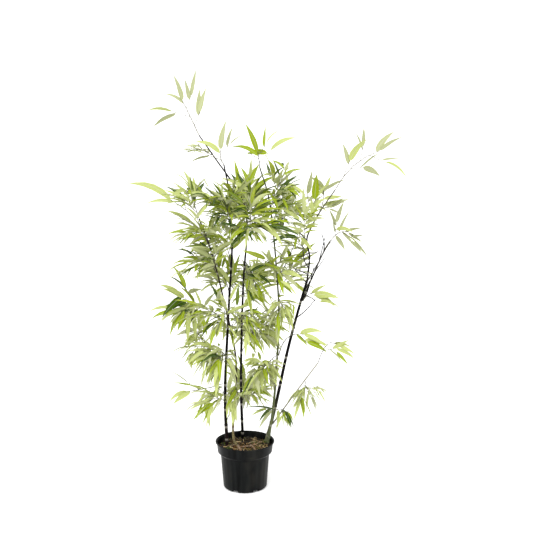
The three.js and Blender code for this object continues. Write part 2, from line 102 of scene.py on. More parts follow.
def link_piece(name, bm, *finishes):
    """A smooth piece from a bmesh, on the CAD body, with its finishes."""
    mesh = bpy.data.meshes.new(name)
    bm.to_mesh(mesh)
    bm.free()
    return dress(name, mesh, *finishes)


def dress(name, mesh, *finishes):
    """Shades a mesh smooth between its sharp edges and hangs it on the plant."""
    for finish in finishes:
        mesh.materials.append(finish)
    mesh.shade_smooth()
    mesh.set_sharp_from_angle(angle=math.radians(SHARP_EDGE))
    piece = bpy.data.objects.new(name, mesh)
    bpy.context.scene.collection.objects.link(piece)
    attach(piece, "root")
    return piece


def chain(bm, points):
    """The edges of an open line of (radius, height) points, in the XZ plane."""
    corners = [bm.verts.new((radius, 0, height)) for radius, height in points]
    return [bm.edges.new(pair) for pair in zip(corners, corners[1:])]


def spin_round(bm, edges, degrees=360, steps=POT_STEPS):
    """Spins edges round the Z axis, closing a full turn on itself."""
    corners = list(dict.fromkeys(vert for edge in edges for vert in edge.verts))
    bmesh.ops.spin(
        bm, geom=edges + corners, axis=(0, 0, 1), angle=math.radians(degrees), steps=steps,
        use_merge=degrees == 360,
    )
    bmesh.ops.remove_doubles(bm, verts=bm.verts[:], dist=SAME_PLACE)


def runs_round(edge):
    """Whether an edge of a spun body lies level, off the axis."""
    first, second = (corner.co for corner in edge.verts)
    level = abs(first.z - second.z) < SAME_PLACE
    return level and abs(first.xy.length - second.xy.length) < SAME_PLACE


def soften_rings(bm, width):
    """Rounds the sharp rings of a spun body."""
    least = math.radians(ROUNDED_FROM)
    rings = [edge for edge in bm.edges if runs_round(edge) and edge.calc_face_angle(0) > least]
    bmesh.ops.bevel(
        bm, geom=rings, offset=width, segments=3, profile=0.5, affect="EDGES",
        clamp_overlap=True, material=-1,
    )


class Finish:
    """A material of one colour, and the patterns in metres that its methods lay over it."""

    def __init__(self, name, colour, roughness, glint=0.3):
        self.material = bpy.data.materials.new(name)
        self.material.use_nodes = True
        self.tree = self.material.node_tree
        self.shader = self.tree.nodes["Principled BSDF"]
        own = {"Base Color": (*colour, 1), "Roughness": roughness, "Specular IOR Level": glint}
        self.wire(self.shader, own)

    def wire(self, node, sockets):
        """Gives sockets of a node, by name or number, a value each or another node's output."""
        for key, value in sockets.items():
            if isinstance(value, bpy.types.NodeSocket):
                self.tree.links.new(value, node.inputs[key])
            else:
                node.inputs[key].default_value = value

    def add(self, kind, sockets=None, **settings):
        """The outputs of a new node."""
        node = self.tree.nodes.new("ShaderNode" + kind)
        for key, value in settings.items():
            setattr(node, key, value)
        self.wire(node, sockets or {})
        return node.outputs

    def drive(self, socket, pattern):
        self.wire(self.shader, {socket: pattern})

    def speckle(self, scale, stretch=(1, 1, 1), detail=4):
        """A noise pattern of `scale` spots to the metre."""
        place = self.add("Mapping", {"Vector": self.add("TexCoord")["Object"], "Scale": stretch})
        return self.add("TexNoise", {"Vector": place[0], "Scale": scale, "Detail": detail})["Fac"]

    def between(self, pattern, low, high, out_low=0.0, out_high=1.0):
        """The pattern from low to high, spread from out_low to out_high and held at both."""
        ends = {1: low, 2: high, 3: out_low, 4: out_high}
        return self.add("MapRange", {"Value": pattern, **ends})["Result"]

    def blend(self, amount, first, second):
        """A colour that goes from first to second; each is a colour or another blend."""
        ends = [(*end, 1) if isinstance(end, tuple) else end for end in (first, second)]
        return self.add("Mix", {0: amount, 6: ends[0], 7: ends[1]}, data_type="RGBA")[2]

    def figure(self, operation, first, second):
        """What a sum such as MULTIPLY makes of two patterns or numbers."""
        return self.add("Math", {0: first, 1: second}, operation=operation)[0]

    def relief(self, height, strength, depth):
        """Bump of a depth in metres where the height pattern is bright."""
        bump = {"Strength": strength, "Distance": depth, "Height": height}
        self.drive("Normal", self.add("Bump", bump)["Normal"])


def pot_plastic():
    """Black moulded plastic with upright flow marks, a dusty bloom and a fine skin."""
    finish = Finish("pot_plastic", (0.004, 0.0045, 0.0045), 0.4, 0.06)
    flow = finish.speckle(60, (1, 1, 0.05), 3)
    dust = finish.between(finish.speckle(14, (1, 1, 0.6), 6), 0.52, 0.8, 0, 0.5)
    blacker, greyer = (0.0012, 0.0014, 0.0014), (0.008, 0.009, 0.009)
    black = finish.blend(finish.between(flow, 0.35, 0.7), blacker, greyer)
    finish.drive("Base Color", finish.blend(dust, black, (0.03, 0.027, 0.021)))
    finish.drive("Roughness", finish.between(flow, 0.35, 0.65, 0.28, 0.5))
    finish.relief(finish.speckle(900, detail=2), 0.25, 0.1 * MM)
    return finish.material


def on_body_wall(share):
    """The place (radius, height) at a share of the way up the body's outside."""
    return tuple(np.array(BODY_FOOT) + (np.array(BODY_TOP) - BODY_FOOT) * share)


pot = bmesh.new()
section = [
    (0, PAD_HEIGHT), (BASE_RADIUS, PAD_HEIGHT), BODY_FOOT,
    *[on_body_wall(share) for share in BODY_RINGS],
    BODY_TOP, COLLAR_FOOT, COLLAR_TOP,
    (rim_radius, COLLAR_TOP[1] + 0.2 * MM), (rim_radius, pot_height),
    (rim_radius - POT_WALL, pot_height), (COLLAR_TOP[0] - POT_WALL, COLLAR_TOP[1]),
    (COLLAR_FOOT[0] - POT_WALL, COLLAR_FOOT[1] + POT_WALL),
    (BODY_TOP[0] - POT_WALL, BODY_TOP[1] + POT_WALL),
    (BODY_FOOT[0] - POT_WALL, POT_FLOOR), (0, POT_FLOOR),
]
spin_round(pot, chain(pot, section))
for corner in pot.verts:
    on_body = BODY_FOOT[1] + FLUTE_ENDS < corner.co.z < BODY_TOP[1] - FLUTE_ENDS
    outside, _ = on_body_wall((corner.co.z - BODY_FOOT[1]) / (BODY_TOP[1] - BODY_FOOT[1]))
    if on_body and corner.co.xy.length > outside - POT_WALL / 2:
        turn = math.atan2(corner.co.y, corner.co.x)
        swell = 1 + FLUTE_DEPTH * (math.cos(POT_FLUTES * turn) - 1) / 2 / corner.co.xy.length
        corner.co.x *= swell
        corner.co.y *= swell
soften_rings(pot, EDGE_ROUNDING)
for pad in range(PAD_COUNT):
    made = set(pot.verts)
    edges = chain(pot, PAD_SECTION)
    edges.append(pot.edges.new((edges[-1].verts[1], edges[0].verts[0])))
    spin_round(pot, edges, PAD_SPAN, PAD_STEPS)
    new_corners = [corner for corner in pot.verts if corner not in made]
    open_edges = [edge for edge in pot.edges if edge.is_boundary]
    bmesh.ops.holes_fill(pot, edges=open_edges, sides=len(PAD_SECTION))
    start = Matrix.Rotation(math.radians(PAD_MIDDLE - PAD_SPAN / 2 + pad * 360 / PAD_COUNT), 3, "Z")
    bmesh.ops.rotate(pot, cent=(0, 0, 0), matrix=start, verts=new_corners)
bmesh.ops.recalc_face_normals(pot, faces=pot.faces[:])
pot_piece = link_piece("pot_shell", pot, pot_plastic())
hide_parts("pot")

# ------------------------------------------------------------------ compost
# Bark compost fills the pot to 2 cm under its rim: a crumbly bed, and on top of it a litter
# of bark chips, dry straw and shed sheaths, with tufts of moss between them.

COMPOST_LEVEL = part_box("soil")[1].z
COMPOST_RADIUS = 85 * MM
COMPOST_STEPS = 220
COMPOST_RINGS = 64
CLEARANCE = 0.3 * MM  # between the compost and the pot's floor
CHIP_COUNT = 420
STRAW_COUNT = 90
SHED_SHEATHS = 9
LITTER_SEED = 5
CHIP_LENGTH = (2.2, 7.5)  # mm, as the next four
STRAW_LENGTH = (9, 34)
STRAW_WIDTH = (0.9, 2.2)
SHED_LENGTH = (14, 30)
MOSS_BIT = (0.7, 1.8)
SHED_WIDTH = 0.26  # as a share of its length
STRAW_THICKNESS = 0.25 * MM
MOSS_TUFTS = ((64, 34, 110), (34, 14, 90), (-62, 12, 90), (-50, -30, 60))  # x, y in mm, bits
MOSS_RADIUS = 15 * MM
HEAPED = 4 * MM  # how far the litter fills the pot above the solid
MOUNDED = 1.4  # times HEAPED in the middle, and less toward the wall
LUMP_HEIGHT, LUMPS = 3.0 * MM, 38  # how high, and how many to the metre
CRUMB_HEIGHT, CRUMBS = 1.6 * MM, 320
GOLDEN = 137.5  # degrees from one twig round a stem to the next
SLOPE = 0.5  # radians that litter tips by, at most
RUSTY_SPOT = (-3, -17, 1100)  # x and y in mm, and how wide it spreads
TAN_SPOT = (46, -17, 700)
GREY_SHARE, GREY_AT_BACK, BACK_FROM = 0.25, 0.4, 10  # more grey chips behind this y, in mm
DARK_SHARE = 0.45


def seeded(seed):
    """A repeatable run of numbers from 0 to 1, as a function to call."""
    state = [seed * 977 + 31]

    def draw():
        state[0] = (state[0] * 1664525 + 1013904223) % 4294967296
        return state[0] / 4294967296

    draw()
    draw()
    return draw


def spread(draw, low, high):
    """The next number of a run, from low to high."""
    return low + (high - low) * draw()


def compost_height(x, y):
    """How high the compost lies at a place, in metres."""
    away = math.hypot(x, y) / COMPOST_RADIUS
    mound = HEAPED * (MOUNDED - away * away)
    lumps = LUMP_HEIGHT * noise.fractal((x * LUMPS, y * LUMPS, 4.7), 1.0, 2.0, 4)
    crumbs = CRUMB_HEIGHT * noise.noise((x * CRUMBS, y * CRUMBS, 1.3))
    return COMPOST_LEVEL + mound + lumps + crumbs


def damp_compost():
    """Dark crumbs with rusty and earthy fibres between them."""
    finish = Finish("damp_compost", (0.05, 0.03, 0.016), 0.95, 0.12)
    crumbs = finish.speckle(240, detail=5)
    patches = finish.between(finish.speckle(45, detail=3), 0.48, 0.66)
    crumbly, fibrous = finish.between(crumbs, 0.45, 0.66), finish.between(crumbs, 0.4, 0.6)
    dark = finish.blend(crumbly, (0.004, 0.003, 0.002), (0.045, 0.026, 0.012))
    golden = finish.blend(fibrous, (0.012, 0.007, 0.002), (0.16, 0.085, 0.02))
    finish.drive("Base Color", finish.blend(patches, dark, golden))
    finish.relief(crumbs, 0.9, 1.2 * MM)
    return finish.material


bed = bmesh.new()
bed_section = [
    *[(COMPOST_RADIUS * ring / COMPOST_RINGS, COMPOST_LEVEL) for ring in range(COMPOST_RINGS + 1)],
    (COLLAR_FOOT[0] - 3 * MM, COLLAR_FOOT[1] + 2 * MM), (BODY_TOP[0] - 3 * MM, BODY_TOP[1] + 2 * MM),
    (BODY_FOOT[0] - 3 * MM, POT_FLOOR + CLEARANCE), (0, POT_FLOOR + CLEARANCE),
]
spin_round(bed, chain(bed, bed_section), steps=COMPOST_STEPS)
for corner in bed.verts:
    if corner.co.z > COMPOST_LEVEL - SAME_PLACE:
        corner.co.z = compost_height(corner.co.x, corner.co.y)
bmesh.ops.recalc_face_normals(bed, faces=bed.faces[:])
bed_piece = link_piece("compost_bed", bed, damp_compost())
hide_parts("soil")


def litter_colour(name, colour, darker, roughness=0.85):
    """A dry litter finish, mottled down to a darker shade."""
    finish = Finish(name, colour, roughness, 0.15)
    mottle = finish.between(finish.speckle(330), 0.38, 0.62)
    finish.drive("Base Color", finish.blend(mottle, darker, colour))
    finish.relief(finish.speckle(700), 0.5, 0.3 * MM)
    return finish.material


def lie_on_compost(draw, most_radius, lift):
    """A seeded place on the compost, as a matrix that turns and tips what lies there."""
    turn = 2 * math.pi * draw()
    away = most_radius * math.sqrt(draw())
    x, y = away * math.cos(turn), away * math.sin(turn)
    tips = [spread(draw, -SLOPE, SLOPE) for _ in range(2)]
    tip = Euler((*tips, 2 * math.pi * draw()))
    return Matrix.Translation((x, y, compost_height(x, y) + lift)) @ tip.to_matrix().to_4x4()


def litter_shade(place, draw):
    """Which of the four shades lies at a place: rusty and tan in front, dark at the back."""
    x, y = place.translation.x / MM, place.translation.y / MM
    rusty, tan = (
        math.exp(-((x - spot_x) ** 2 + (y - spot_y) ** 2) / width)
        for spot_x, spot_y, width in (RUSTY_SPOT, TAN_SPOT)
    )
    grey = GREY_SHARE + GREY_AT_BACK * (y > BACK_FROM)
    chance = draw() * (rusty + tan + grey + DARK_SHARE)
    if chance < tan:
        return 1
    if chance < tan + rusty:
        return 2
    return 3 if chance < tan + rusty + grey else 0


def paint_faces(corners, shade):
    """Gives every face at the corners one of its piece's finishes."""
    for face in {face for corner in corners for face in corner.link_faces}:
        face.material_index = shade


def add_chip(bm, matrix, size, draw, shade):
    """One bark chip: a flattened lump with broken corners."""
    chip = bmesh.ops.create_icosphere(bm, subdivisions=1, radius=1)["verts"]
    for corner in chip:
        corner.co *= spread(draw, 0.65, 1.2)
        corner.co = matrix @ Vector(a * b for a, b in zip(corner.co, size))
    paint_faces(chip, shade)


def add_ribbon(bm, matrix, length, width, curl, shade, taper=0.35, steps=6):
    """One dry blade or straw: a thin strip, curled along its length and across it."""
    strip = bmesh.ops.create_grid(bm, x_segments=steps, y_segments=2, size=0.5)["verts"]
    for corner in strip:
        along_it, across = corner.co.x, corner.co.y
        narrow = 1 - (1 - taper) * abs(2 * along_it) ** 2
        rise = curl * length * (0.25 - along_it * along_it) - width * 0.5 * across * across
        corner.co = matrix @ Vector((along_it * length, across * width * narrow, rise))
    paint_faces(strip, shade)


litter_draw = seeded(LITTER_SEED)
chips = bmesh.new()
for _ in range(CHIP_COUNT):
    long = spread(litter_draw, *CHIP_LENGTH) * MM
    size = (long, long * spread(litter_draw, 0.35, 0.7), long * spread(litter_draw, 0.15, 0.35))
    place = lie_on_compost(litter_draw, COMPOST_RADIUS - 6 * MM, 0.4 * MM)
    add_chip(chips, place, size, litter_draw, litter_shade(place, litter_draw))
chips_piece = link_piece(
    "bark_chips",
    chips,
    litter_colour("chip_dark", (0.014, 0.009, 0.006), (0.004, 0.003, 0.0025)),
    litter_colour("chip_tan", (0.34, 0.25, 0.12), (0.13, 0.08, 0.03)),
    litter_colour("chip_rust", (0.19, 0.095, 0.022), (0.06, 0.028, 0.008)),
    litter_colour("chip_grey", (0.055, 0.05, 0.038), (0.014, 0.012, 0.009)),
)

straw = bmesh.new()
for count in range(STRAW_COUNT):
    place = lie_on_compost(litter_draw, COMPOST_RADIUS - 12 * MM, 1.6 * MM)
    length = spread(litter_draw, *STRAW_LENGTH) * MM
    width = spread(litter_draw, *STRAW_WIDTH) * MM
    add_ribbon(straw, place, length, width, spread(litter_draw, -0.1, 0.3), count % 3)
for count in range(SHED_SHEATHS):
    place = lie_on_compost(litter_draw, COMPOST_RADIUS - 18 * MM, 2.5 * MM)
    length = spread(litter_draw, *SHED_LENGTH) * MM
    curl = spread(litter_draw, 0.1, 0.5)
    shade = 2 + count % 2
    add_ribbon(straw, place, length, length * SHED_WIDTH, curl, shade, taper=0.15, steps=8)
bmesh.ops.solidify(straw, geom=straw.faces[:], thickness=STRAW_THICKNESS)
straw_piece = link_piece(
    "straw_litter",
    straw,
    litter_colour("straw_tan", (0.36, 0.25, 0.11), (0.2, 0.12, 0.045), 0.7),
    litter_colour("straw_olive", (0.2, 0.19, 0.05), (0.1, 0.09, 0.025), 0.7),
    litter_colour("sheath_cream", (0.55, 0.43, 0.25), (0.33, 0.22, 0.1), 0.65),
    litter_colour("sheath_pink", (0.34, 0.18, 0.12), (0.17, 0.08, 0.05), 0.65),
)

moss = bmesh.new()
for middle_x, middle_y, count in MOSS_TUFTS:
    for _ in range(count):
        turn = 2 * math.pi * litter_draw()
        away = MOSS_RADIUS * litter_draw()
        x, y = middle_x * MM + away * math.cos(turn), middle_y * MM + away * math.sin(turn)
        if math.hypot(x, y) > COMPOST_RADIUS - 4 * MM:
            continue
        lift = spread(litter_draw, 0.5, 3) * MM
        place = Matrix.Translation((x, y, compost_height(x, y) + lift))
        size = [spread(litter_draw, *MOSS_BIT) * MM for _ in range(3)]
        add_chip(moss, place, size, litter_draw, 0)
moss_green = litter_colour("moss_green", (0.1, 0.13, 0.02), (0.03, 0.05, 0.01))
moss_piece = link_piece("moss_tufts", moss, moss_green)

# ------------------------------------------------------------------ canes and branches
# Five canes and three of their branches, waxy and near black, with a sharp scar and a swollen
# ridge at every node, a pale bloom under it and a groove above it on alternate sides. Each
# is a ring of vertices, extruded from place to place along the cane. From here to
# the leaves all lengths are in millimetres, as in the solids.

LIMBS = [
    dict(name="cane_left", radius=(4.6, 1.7), points=[
        (-58, -4), (-62, -6, 330), (-48, -8, 600), (-36, -10, 798), (-42, -18, 950),
        (-58, -32, 1050),
    ]),
    dict(name="cane_rear", radius=(3.9, 1.6), points=[
        (-9, 58), (-13, 46, 350), (-4, 26, 650), (10, 20, 856), (-12, 30, 949), (-90, 55, 1062),
        (-139, 60, 1132),
    ]),
    dict(name="cane_thin", radius=(3.1, 1.6), points=[
        (-22, -14), (-38, -12, 190), (-26, -14, 420), (-62, -34, 626), (-100, -42, 788),
        (-134, -45, 885),
    ]),
    dict(name="cane_right", radius=(3.4, 1.6), points=[
        (74, 18), (95, 6, 300), (109, 0, 540), (104, 4, 690), (82, 15, 920), (50, 4, 1040),
    ]),
    dict(name="cane_leaning", radius=(4.7, 3.2), points=[
        (67, 38), (98, 26, 260), (137, 10, 451), (174, 4, 598), (198, 0, 683),
    ]),
    dict(name="branch_upright", on="cane_leaning", at="tip", radius=(2.4, 1.6), points=[
        (205, -10, 760), (196, -20, 806), (202, -30, 842), (235, -40, 906), (280, -40, 973),
    ]),
    dict(name="branch_right", on="cane_leaning", at=640, radius=(2.0, 1.6), points=[
        (228, 22, 720), (255, 40, 776), (271, 50, 800),
    ]),
    dict(name="branch_low", on="cane_leaning", at=215, radius=(2.0, 1.6), points=[
        (173, -40, 344), (231, -80, 438),
    ]),
]
SOIL_LEVEL = 135
GAP = 0.3  # between a stem and the limb that it grows from
FAN_CROSSING = 0.4  # leaves of two fans stay apart by this share of their half widths
PARALLEL = 1e-6  # what counts as no part of one direction square to another
SAME_COURSE = 1e-9  # and as no area between two stretches
RING_SWELL = 1.22
SHORT_INTERNODE = 30
FULL_INTERNODE = 95
INTERNODE_GROWTH = 1.4
CANE_SIDES = 16
BRANCH_SIDES = 10
CANE_FULLNESS = 1.22  # the bark between two rings, beside the tapered bars of the solid
FOOT_DEPTH = 7  # how far a cane's mesh goes down into the compost

UP = np.array([0.0, 0, 1])
SIDE = np.array([1.0, 0, 0])
FRONT = np.array([0.0, -1, 0])


def normalized(direction):
    """A direction at length 1."""
    return direction / math.sqrt(direction @ direction)


def square_to(axis, direction):
    """The part of a direction that stands square to an axis, at length 1."""
    square = direction - axis * (direction @ axis)
    if square @ square < PARALLEL:
        return square_to(axis, SIDE)
    return normalized(square)


def turned(direction, axis, degrees):
    """A direction turned about an axis of length 1."""
    angle = math.radians(degrees)
    across = np.cross(axis, direction)
    kept = axis * (axis @ direction) * (1 - math.cos(angle))
    return direction * math.cos(angle) + across * math.sin(angle) + kept


def steps_of(points):
    """The lengths of a line's steps."""
    return np.linalg.norm(np.diff(points, axis=0), axis=1)


def along(points, distance):
    """The place and direction at a distance along a line of points."""
    left = distance
    for number in range(1, len(points)):
        step = points[number] - points[number - 1]
        length = math.sqrt(step @ step)
        if left <= length or number == len(points) - 1:
            break
        left -= length
    return points[number - 1] + step / length * left, step / length


def smooth_line(passes, count=40):
    """A curve through all the passes, as count + 1 points."""
    passes = [np.array(place, float) for place in passes]
    padded = [2 * passes[0] - passes[1], *passes, 2 * passes[-1] - passes[-2]]
    places = []
    for step in range(count + 1):
        reach = (len(passes) - 1) * step / count
        span = min(int(reach), len(passes) - 2)
        t = reach - span
        before, start, end, after = padded[span:span + 4]
        leave, arrive = (end - before) / 2, (after - start) / 2
        squared = 3 * (end - start) - 2 * leave - arrive
        cubed = 2 * (start - end) + leave + arrive
        places.append(start + leave * t + squared * t * t + cubed * t * t * t)
    return places


def nodes_of(length):
    """How far from a limb's foot its nodes are."""
    places, internode = [], SHORT_INTERNODE
    place = internode
    while place < length - SHORT_INTERNODE:
        places.append(place)
        internode = min(FULL_INTERNODE, internode * INTERNODE_GROWTH)
        place += internode
    return places


class Bars:
    """The straight stretches that stems, twigs and leaves already take."""

    def __init__(self, room=20000):
        self.start, self.end = np.zeros((room, 3)), np.zeros((room, 3))
        self.radius, self.owner, self.fan = np.zeros(room), np.zeros(room, int), np.zeros(room, int)
        self.count = 0
        self.owners = {}

    def number_of(self, owner):
        return self.owners.setdefault(owner, len(self.owners) + 1)

    def claim(self, points, radius, owner, fan=0):
        """Takes every stretch of a line for its owner, a spray or limb, and its fan."""
        for first, second in zip(points, points[1:]):
            row = self.count
            self.start[row], self.end[row] = first, second
            self.radius[row], self.owner[row], self.fan[row] = radius, self.number_of(owner), fan
            self.count += 1

    def is_free(self, first, second, radius, owner, fan=0, nearness=1.0):
        """Whether a stretch keeps clear of the others: of those of its own owner, only of
        the leaves of other fans, and not as strictly."""
        rows = slice(0, self.count)
        u, v = second - first, self.end[rows] - self.start[rows]
        w = first - self.start[rows]
        uu, uv, vv, uw, vw = u @ u, v @ u, (v * v).sum(1), w @ u, (v * w).sum(1)
        away = uu * vv - uv * uv
        crossing = np.clip((uv * vw - vv * uw) / np.where(away < SAME_COURSE, 1, away), 0, 1)
        s = np.where(away < SAME_COURSE, 0, crossing)
        t = np.clip((uv * s + vw) / vv, 0, 1)
        s = np.clip((uv * t - uw) / uu, 0, 1)
        distance = np.linalg.norm(w + s[:, None] * u - t[:, None] * v, axis=1)
        reach = radius + self.radius[rows]
        own = self.owner[rows] == self.number_of(owner)
        other_fan = (self.fan[rows] != fan) & (self.fan[rows] > 0) & (fan > 0)
        limit = np.where(own, np.where(other_fan, reach * FAN_CROSSING, -1), reach * nearness + GAP)
        return bool((distance > limit).all())


bars = Bars()
limbs = {}


def limb_along(path, radius, place_nodes):
    """A limb on a path, with a radius at its foot and one at its tip."""
    length = steps_of(path).sum()
    return dict(path=path, length=length, radius=radius, nodes=place_nodes(length))


def radius_at(limb, distance):
    """A limb's radius at a distance from its foot."""
    foot, tip = limb["radius"]
    return foot + (tip - foot) * distance / limb["length"]


def seat_on(limb, height):
    """The node of a limb that is nearest in height, or its tip."""
    if height == "tip":
        place, direction = along(limb["path"], limb["length"])
        return place, direction, 0
    nearest = min(limb["nodes"], key=lambda node: abs(along(limb["path"], node)[0][2] - height))
    return (*along(limb["path"], nearest), radius_at(limb, nearest) * RING_SWELL)


def start_from(seat, toward, radius):
    """Where a side limb starts, clear of the limb that it grows from."""
    place, direction, thickness = seat
    if thickness == 0:
        return place + direction * GAP
    return place + square_to(direction, toward - place) * (thickness + radius + GAP)


for plan in LIMBS:
    passes = [(*point, SOIL_LEVEL)[:3] for point in plan["points"]]
    if "on" in plan:
        seat = seat_on(limbs[plan["on"]], plan["at"])
        passes.insert(0, start_from(seat, passes[0], plan["radius"][0]))
    path = smooth_line(passes)
    limbs[plan["name"]] = dict(plan, **limb_along(path, plan["radius"], nodes_of))
    bars.claim(path, plan["radius"][0] * RING_SWELL, plan["name"])

NODE_RELIEF = (  # round a node: how far from it, how far the bark stands out, how pale it is
    (-11, 0, 0), (-7.5, 0, 0.35), (-4, 0.02, 0.9), (-1.9, 0.05, 1), (-1.5, 0.26, 0.45),
    (-1.0, 0.3, 0.3), (-0.6, 0.06, 0), (0.5, 0.1, 0), (1.5, 0.42, 0), (2.4, 0.5, 0),
    (3.4, 0.32, 0), (5.5, 0.04, 0), (9, 0, 0),
)
GROOVE_DEPTH = 0.16
GROOVE_WIDTH = 0.5  # radians, as the next
GROOVE_TURN = 0.9
GROOVE_END = 1.15  # a groove fades out before the next node, and starts within GROOVE_RISE
GROOVE_RISE = 16
RELIEF_RADIUS = 2.0  # the radius for which the relief's heights are given
STATION_STEP = 9
LEAST_STEP = 0.2
PAST_TIP = 30  # where the next node of a limb would be, beyond its end


def cane_stations(limb, relief_scale):
    """(distance, extra radius, bloom, groove side, groove depth) all the way up a limb."""
    below, above = -NODE_RELIEF[0][0], NODE_RELIEF[-1][0]
    stations = [(0.0, 0.0, 0.0, 0, 0.0)]
    last_node, side = 0.0, 0
    for node in [*limb["nodes"], limb["length"] + PAST_TIP]:
        low, high = last_node + above, min(node - below, limb["length"])
        span = node - last_node
        count = max(2, int((high - low) / STATION_STEP))
        for step in range(count + 1):
            place = low + (high - low) * step / count
            from_node = place - last_node
            fade = max(0.0, 1 - from_node / span * GROOVE_END)
            depth = GROOVE_DEPTH * fade * min(1.0, from_node / GROOVE_RISE)
            if place > stations[-1][0] + LEAST_STEP and last_node > 0 or step > 0:
                stations.append((place, 0.0, 0.0, side, depth))
        if node > limb["length"]:
            break
        side = 1 - side
        for offset, height, bloom in NODE_RELIEF:
            scale = relief_scale * radius_at(limb, node) / RELIEF_RADIUS
            stations.append((node + offset, height * scale, bloom, side, 0.0))
        last_node = node
    return sorted(station for station in stations if station[0] <= limb["length"])


def grow_tube(limb, sides=BRANCH_SIDES, sink=0.0, fullness=1.0, relief_scale=1.0):
    """A tube from a circle that is extruded along a limb, with bark relief and bloom."""
    bm = bmesh.new()
    bloom_layer = bm.verts.layers.float.new("bloom")
    turn_layer = bm.verts.layers.int.new("turn")
    ring = bmesh.ops.create_circle(bm, segments=sides, radius=1, cap_ends=True)["verts"]
    for number, corner in enumerate(ring):
        corner[turn_layer] = number
    edges = bm.edges[:]
    normal = SIDE
    stations = cane_stations(limb, relief_scale)
    for number, (distance, extra, bloom, side, depth) in enumerate(stations):
        if number:
            grown = bmesh.ops.extrude_edge_only(bm, edges=edges)["geom"]
            ring = [item for item in grown if isinstance(item, bmesh.types.BMVert)]
            edges = [item for item in grown if isinstance(item, bmesh.types.BMEdge)]
        place, direction = along(limb["path"], max(0.0, distance))
        if number == 0:
            place = place - direction * sink
        normal = square_to(direction, normal)
        across = np.cross(direction, normal)
        radius = radius_at(limb, distance) * fullness + extra
        for corner in ring:
            turn = 2 * math.pi * corner[turn_layer] / sides
            off_groove = math.remainder(turn - math.pi * side - GROOVE_TURN, 2 * math.pi)
            cut = 1 - depth * math.exp(-((off_groove / GROOVE_WIDTH) ** 2))
            out = normal * math.cos(turn) + across * math.sin(turn)
            corner.co = (place + out * radius * cut) * MM
            corner[bloom_layer] = bloom
    bmesh.ops.contextual_create(bm, geom=edges)
    bmesh.ops.recalc_face_normals(bm, faces=bm.faces[:])
    return bm


def cane_bark(name, low, high, change, gloss=0.42):
    """Waxy bark that goes from one colour at the foot to another over a height, in metres,
    with fine upright streaks, brown flecks and a chalky bloom."""
    finish = Finish(name, high, gloss, 0.05)
    height = finish.add("SeparateXYZ", {"Vector": finish.add("TexCoord")["Object"]})["Z"]
    ground = finish.blend(finish.between(height, *change), low, high)
    flecks = finish.speckle(260, (1, 1, 0.16), 4)
    paler = tuple(min(1.0, channel * 2.0 + 0.006) for channel in high)
    streaked = finish.blend(finish.between(flecks, 0.55, 0.78, 0, 0.55), ground, paler)
    bloom = finish.add("Attribute", attribute_name="bloom")["Fac"]
    chalk = finish.between(finish.speckle(420), 0.3, 0.62, 0.25, 1)
    dusted = finish.figure("MULTIPLY", bloom, chalk)
    finish.drive("Base Color", finish.blend(dusted, streaked, (0.36, 0.34, 0.29)))
    finish.drive("Roughness", finish.between(bloom, 0, 1, gloss, 0.8))
    finish.relief(flecks, 0.3, 0.15 * MM)
    return finish.material


BLACK = (0.002, 0.0017, 0.0017)
PLUM = (0.012, 0.006, 0.006)
BARKS = {  # the colour at the foot, the colour above, and the heights where it changes
    "cane_left": (PLUM, BLACK, (0.14, 0.24)),
    "cane_rear": (BLACK, (0.013, 0.012, 0.009), (0.2, 0.9)),
    "cane_thin": ((0.15, 0.105, 0.055), (0.025, 0.018, 0.012), (0.17, 0.36)),
    "cane_right": ((0.1, 0.115, 0.05), (0.045, 0.055, 0.018), (0.15, 0.8)),
    "cane_leaning": ((0.13, 0.135, 0.07), BLACK, (0.16, 0.3)),
    "branch_upright": (BLACK, (0.09, 0.088, 0.06), (0.78, 0.95)),
    "branch_right": (BLACK, (0.11, 0.105, 0.075), (0.7, 0.78)),
    "branch_low": ((0.1, 0.095, 0.06), (0.24, 0.225, 0.18), (0.2, 0.3)),
}
for name, limb in limbs.items():
    sides, sink = (BRANCH_SIDES, GAP) if "on" in limb else (CANE_SIDES, FOOT_DEPTH)
    tube = grow_tube(limb, sides, sink, CANE_FULLNESS)
    bark = cane_bark(f"bark_{name}", *BARKS[name])
    piece = link_piece(name.replace("cane", "culm").replace("branch", "arm"), tube, bark)
    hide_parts(name)

# ------------------------------------------------------------------ boughs, stems and twigs
# Every spray arches out from a node on a bare bough or straight from the cane, and side twigs
# leave its stem by turns. The rule and its seeds are those of the solids. Then most sprays go
# on into more twigs, twiglets and leaves, which keep close to the space of their own solid.

FINE_TWIGS = 5  # more twigs on a round stem than its solid has
REACH_MARGIN = 6  # how far finer growth goes past the box of its spray's own solid


@dataclass
class Spray:
    """One stem with its twigs and leaves. It leaves a limb at a height, or at its tip, and
    arrives at its end along the heading, and `shoots` twigs leave it by turns."""

    name: str
    on: str
    at: int | str
    end: tuple
    heading: tuple
    shoots: int
    seed: int
    tone: str
    flat: bool = False  # spread out in one plane that faces the front, with fewer leaves
    sparse: bool = False  # with no finer growth at all
    level: bool = False  # low down, but with leaves that don't hang
    bough: float = 0  # the share of its length that is a bare bough
    fan: int | None = None  # leaves at the end of its stem and of each twig
    leaf: float = 1  # their size, as a share of the usual
    reach: float = REACH_MARGIN
    finer: int | None = None  # more twigs on its stem

    def __post_init__(self):
        self.fan = self.fan or (2 if self.flat else 4)
        if self.finer is None:
            self.finer = 0 if self.flat else FINE_TWIGS


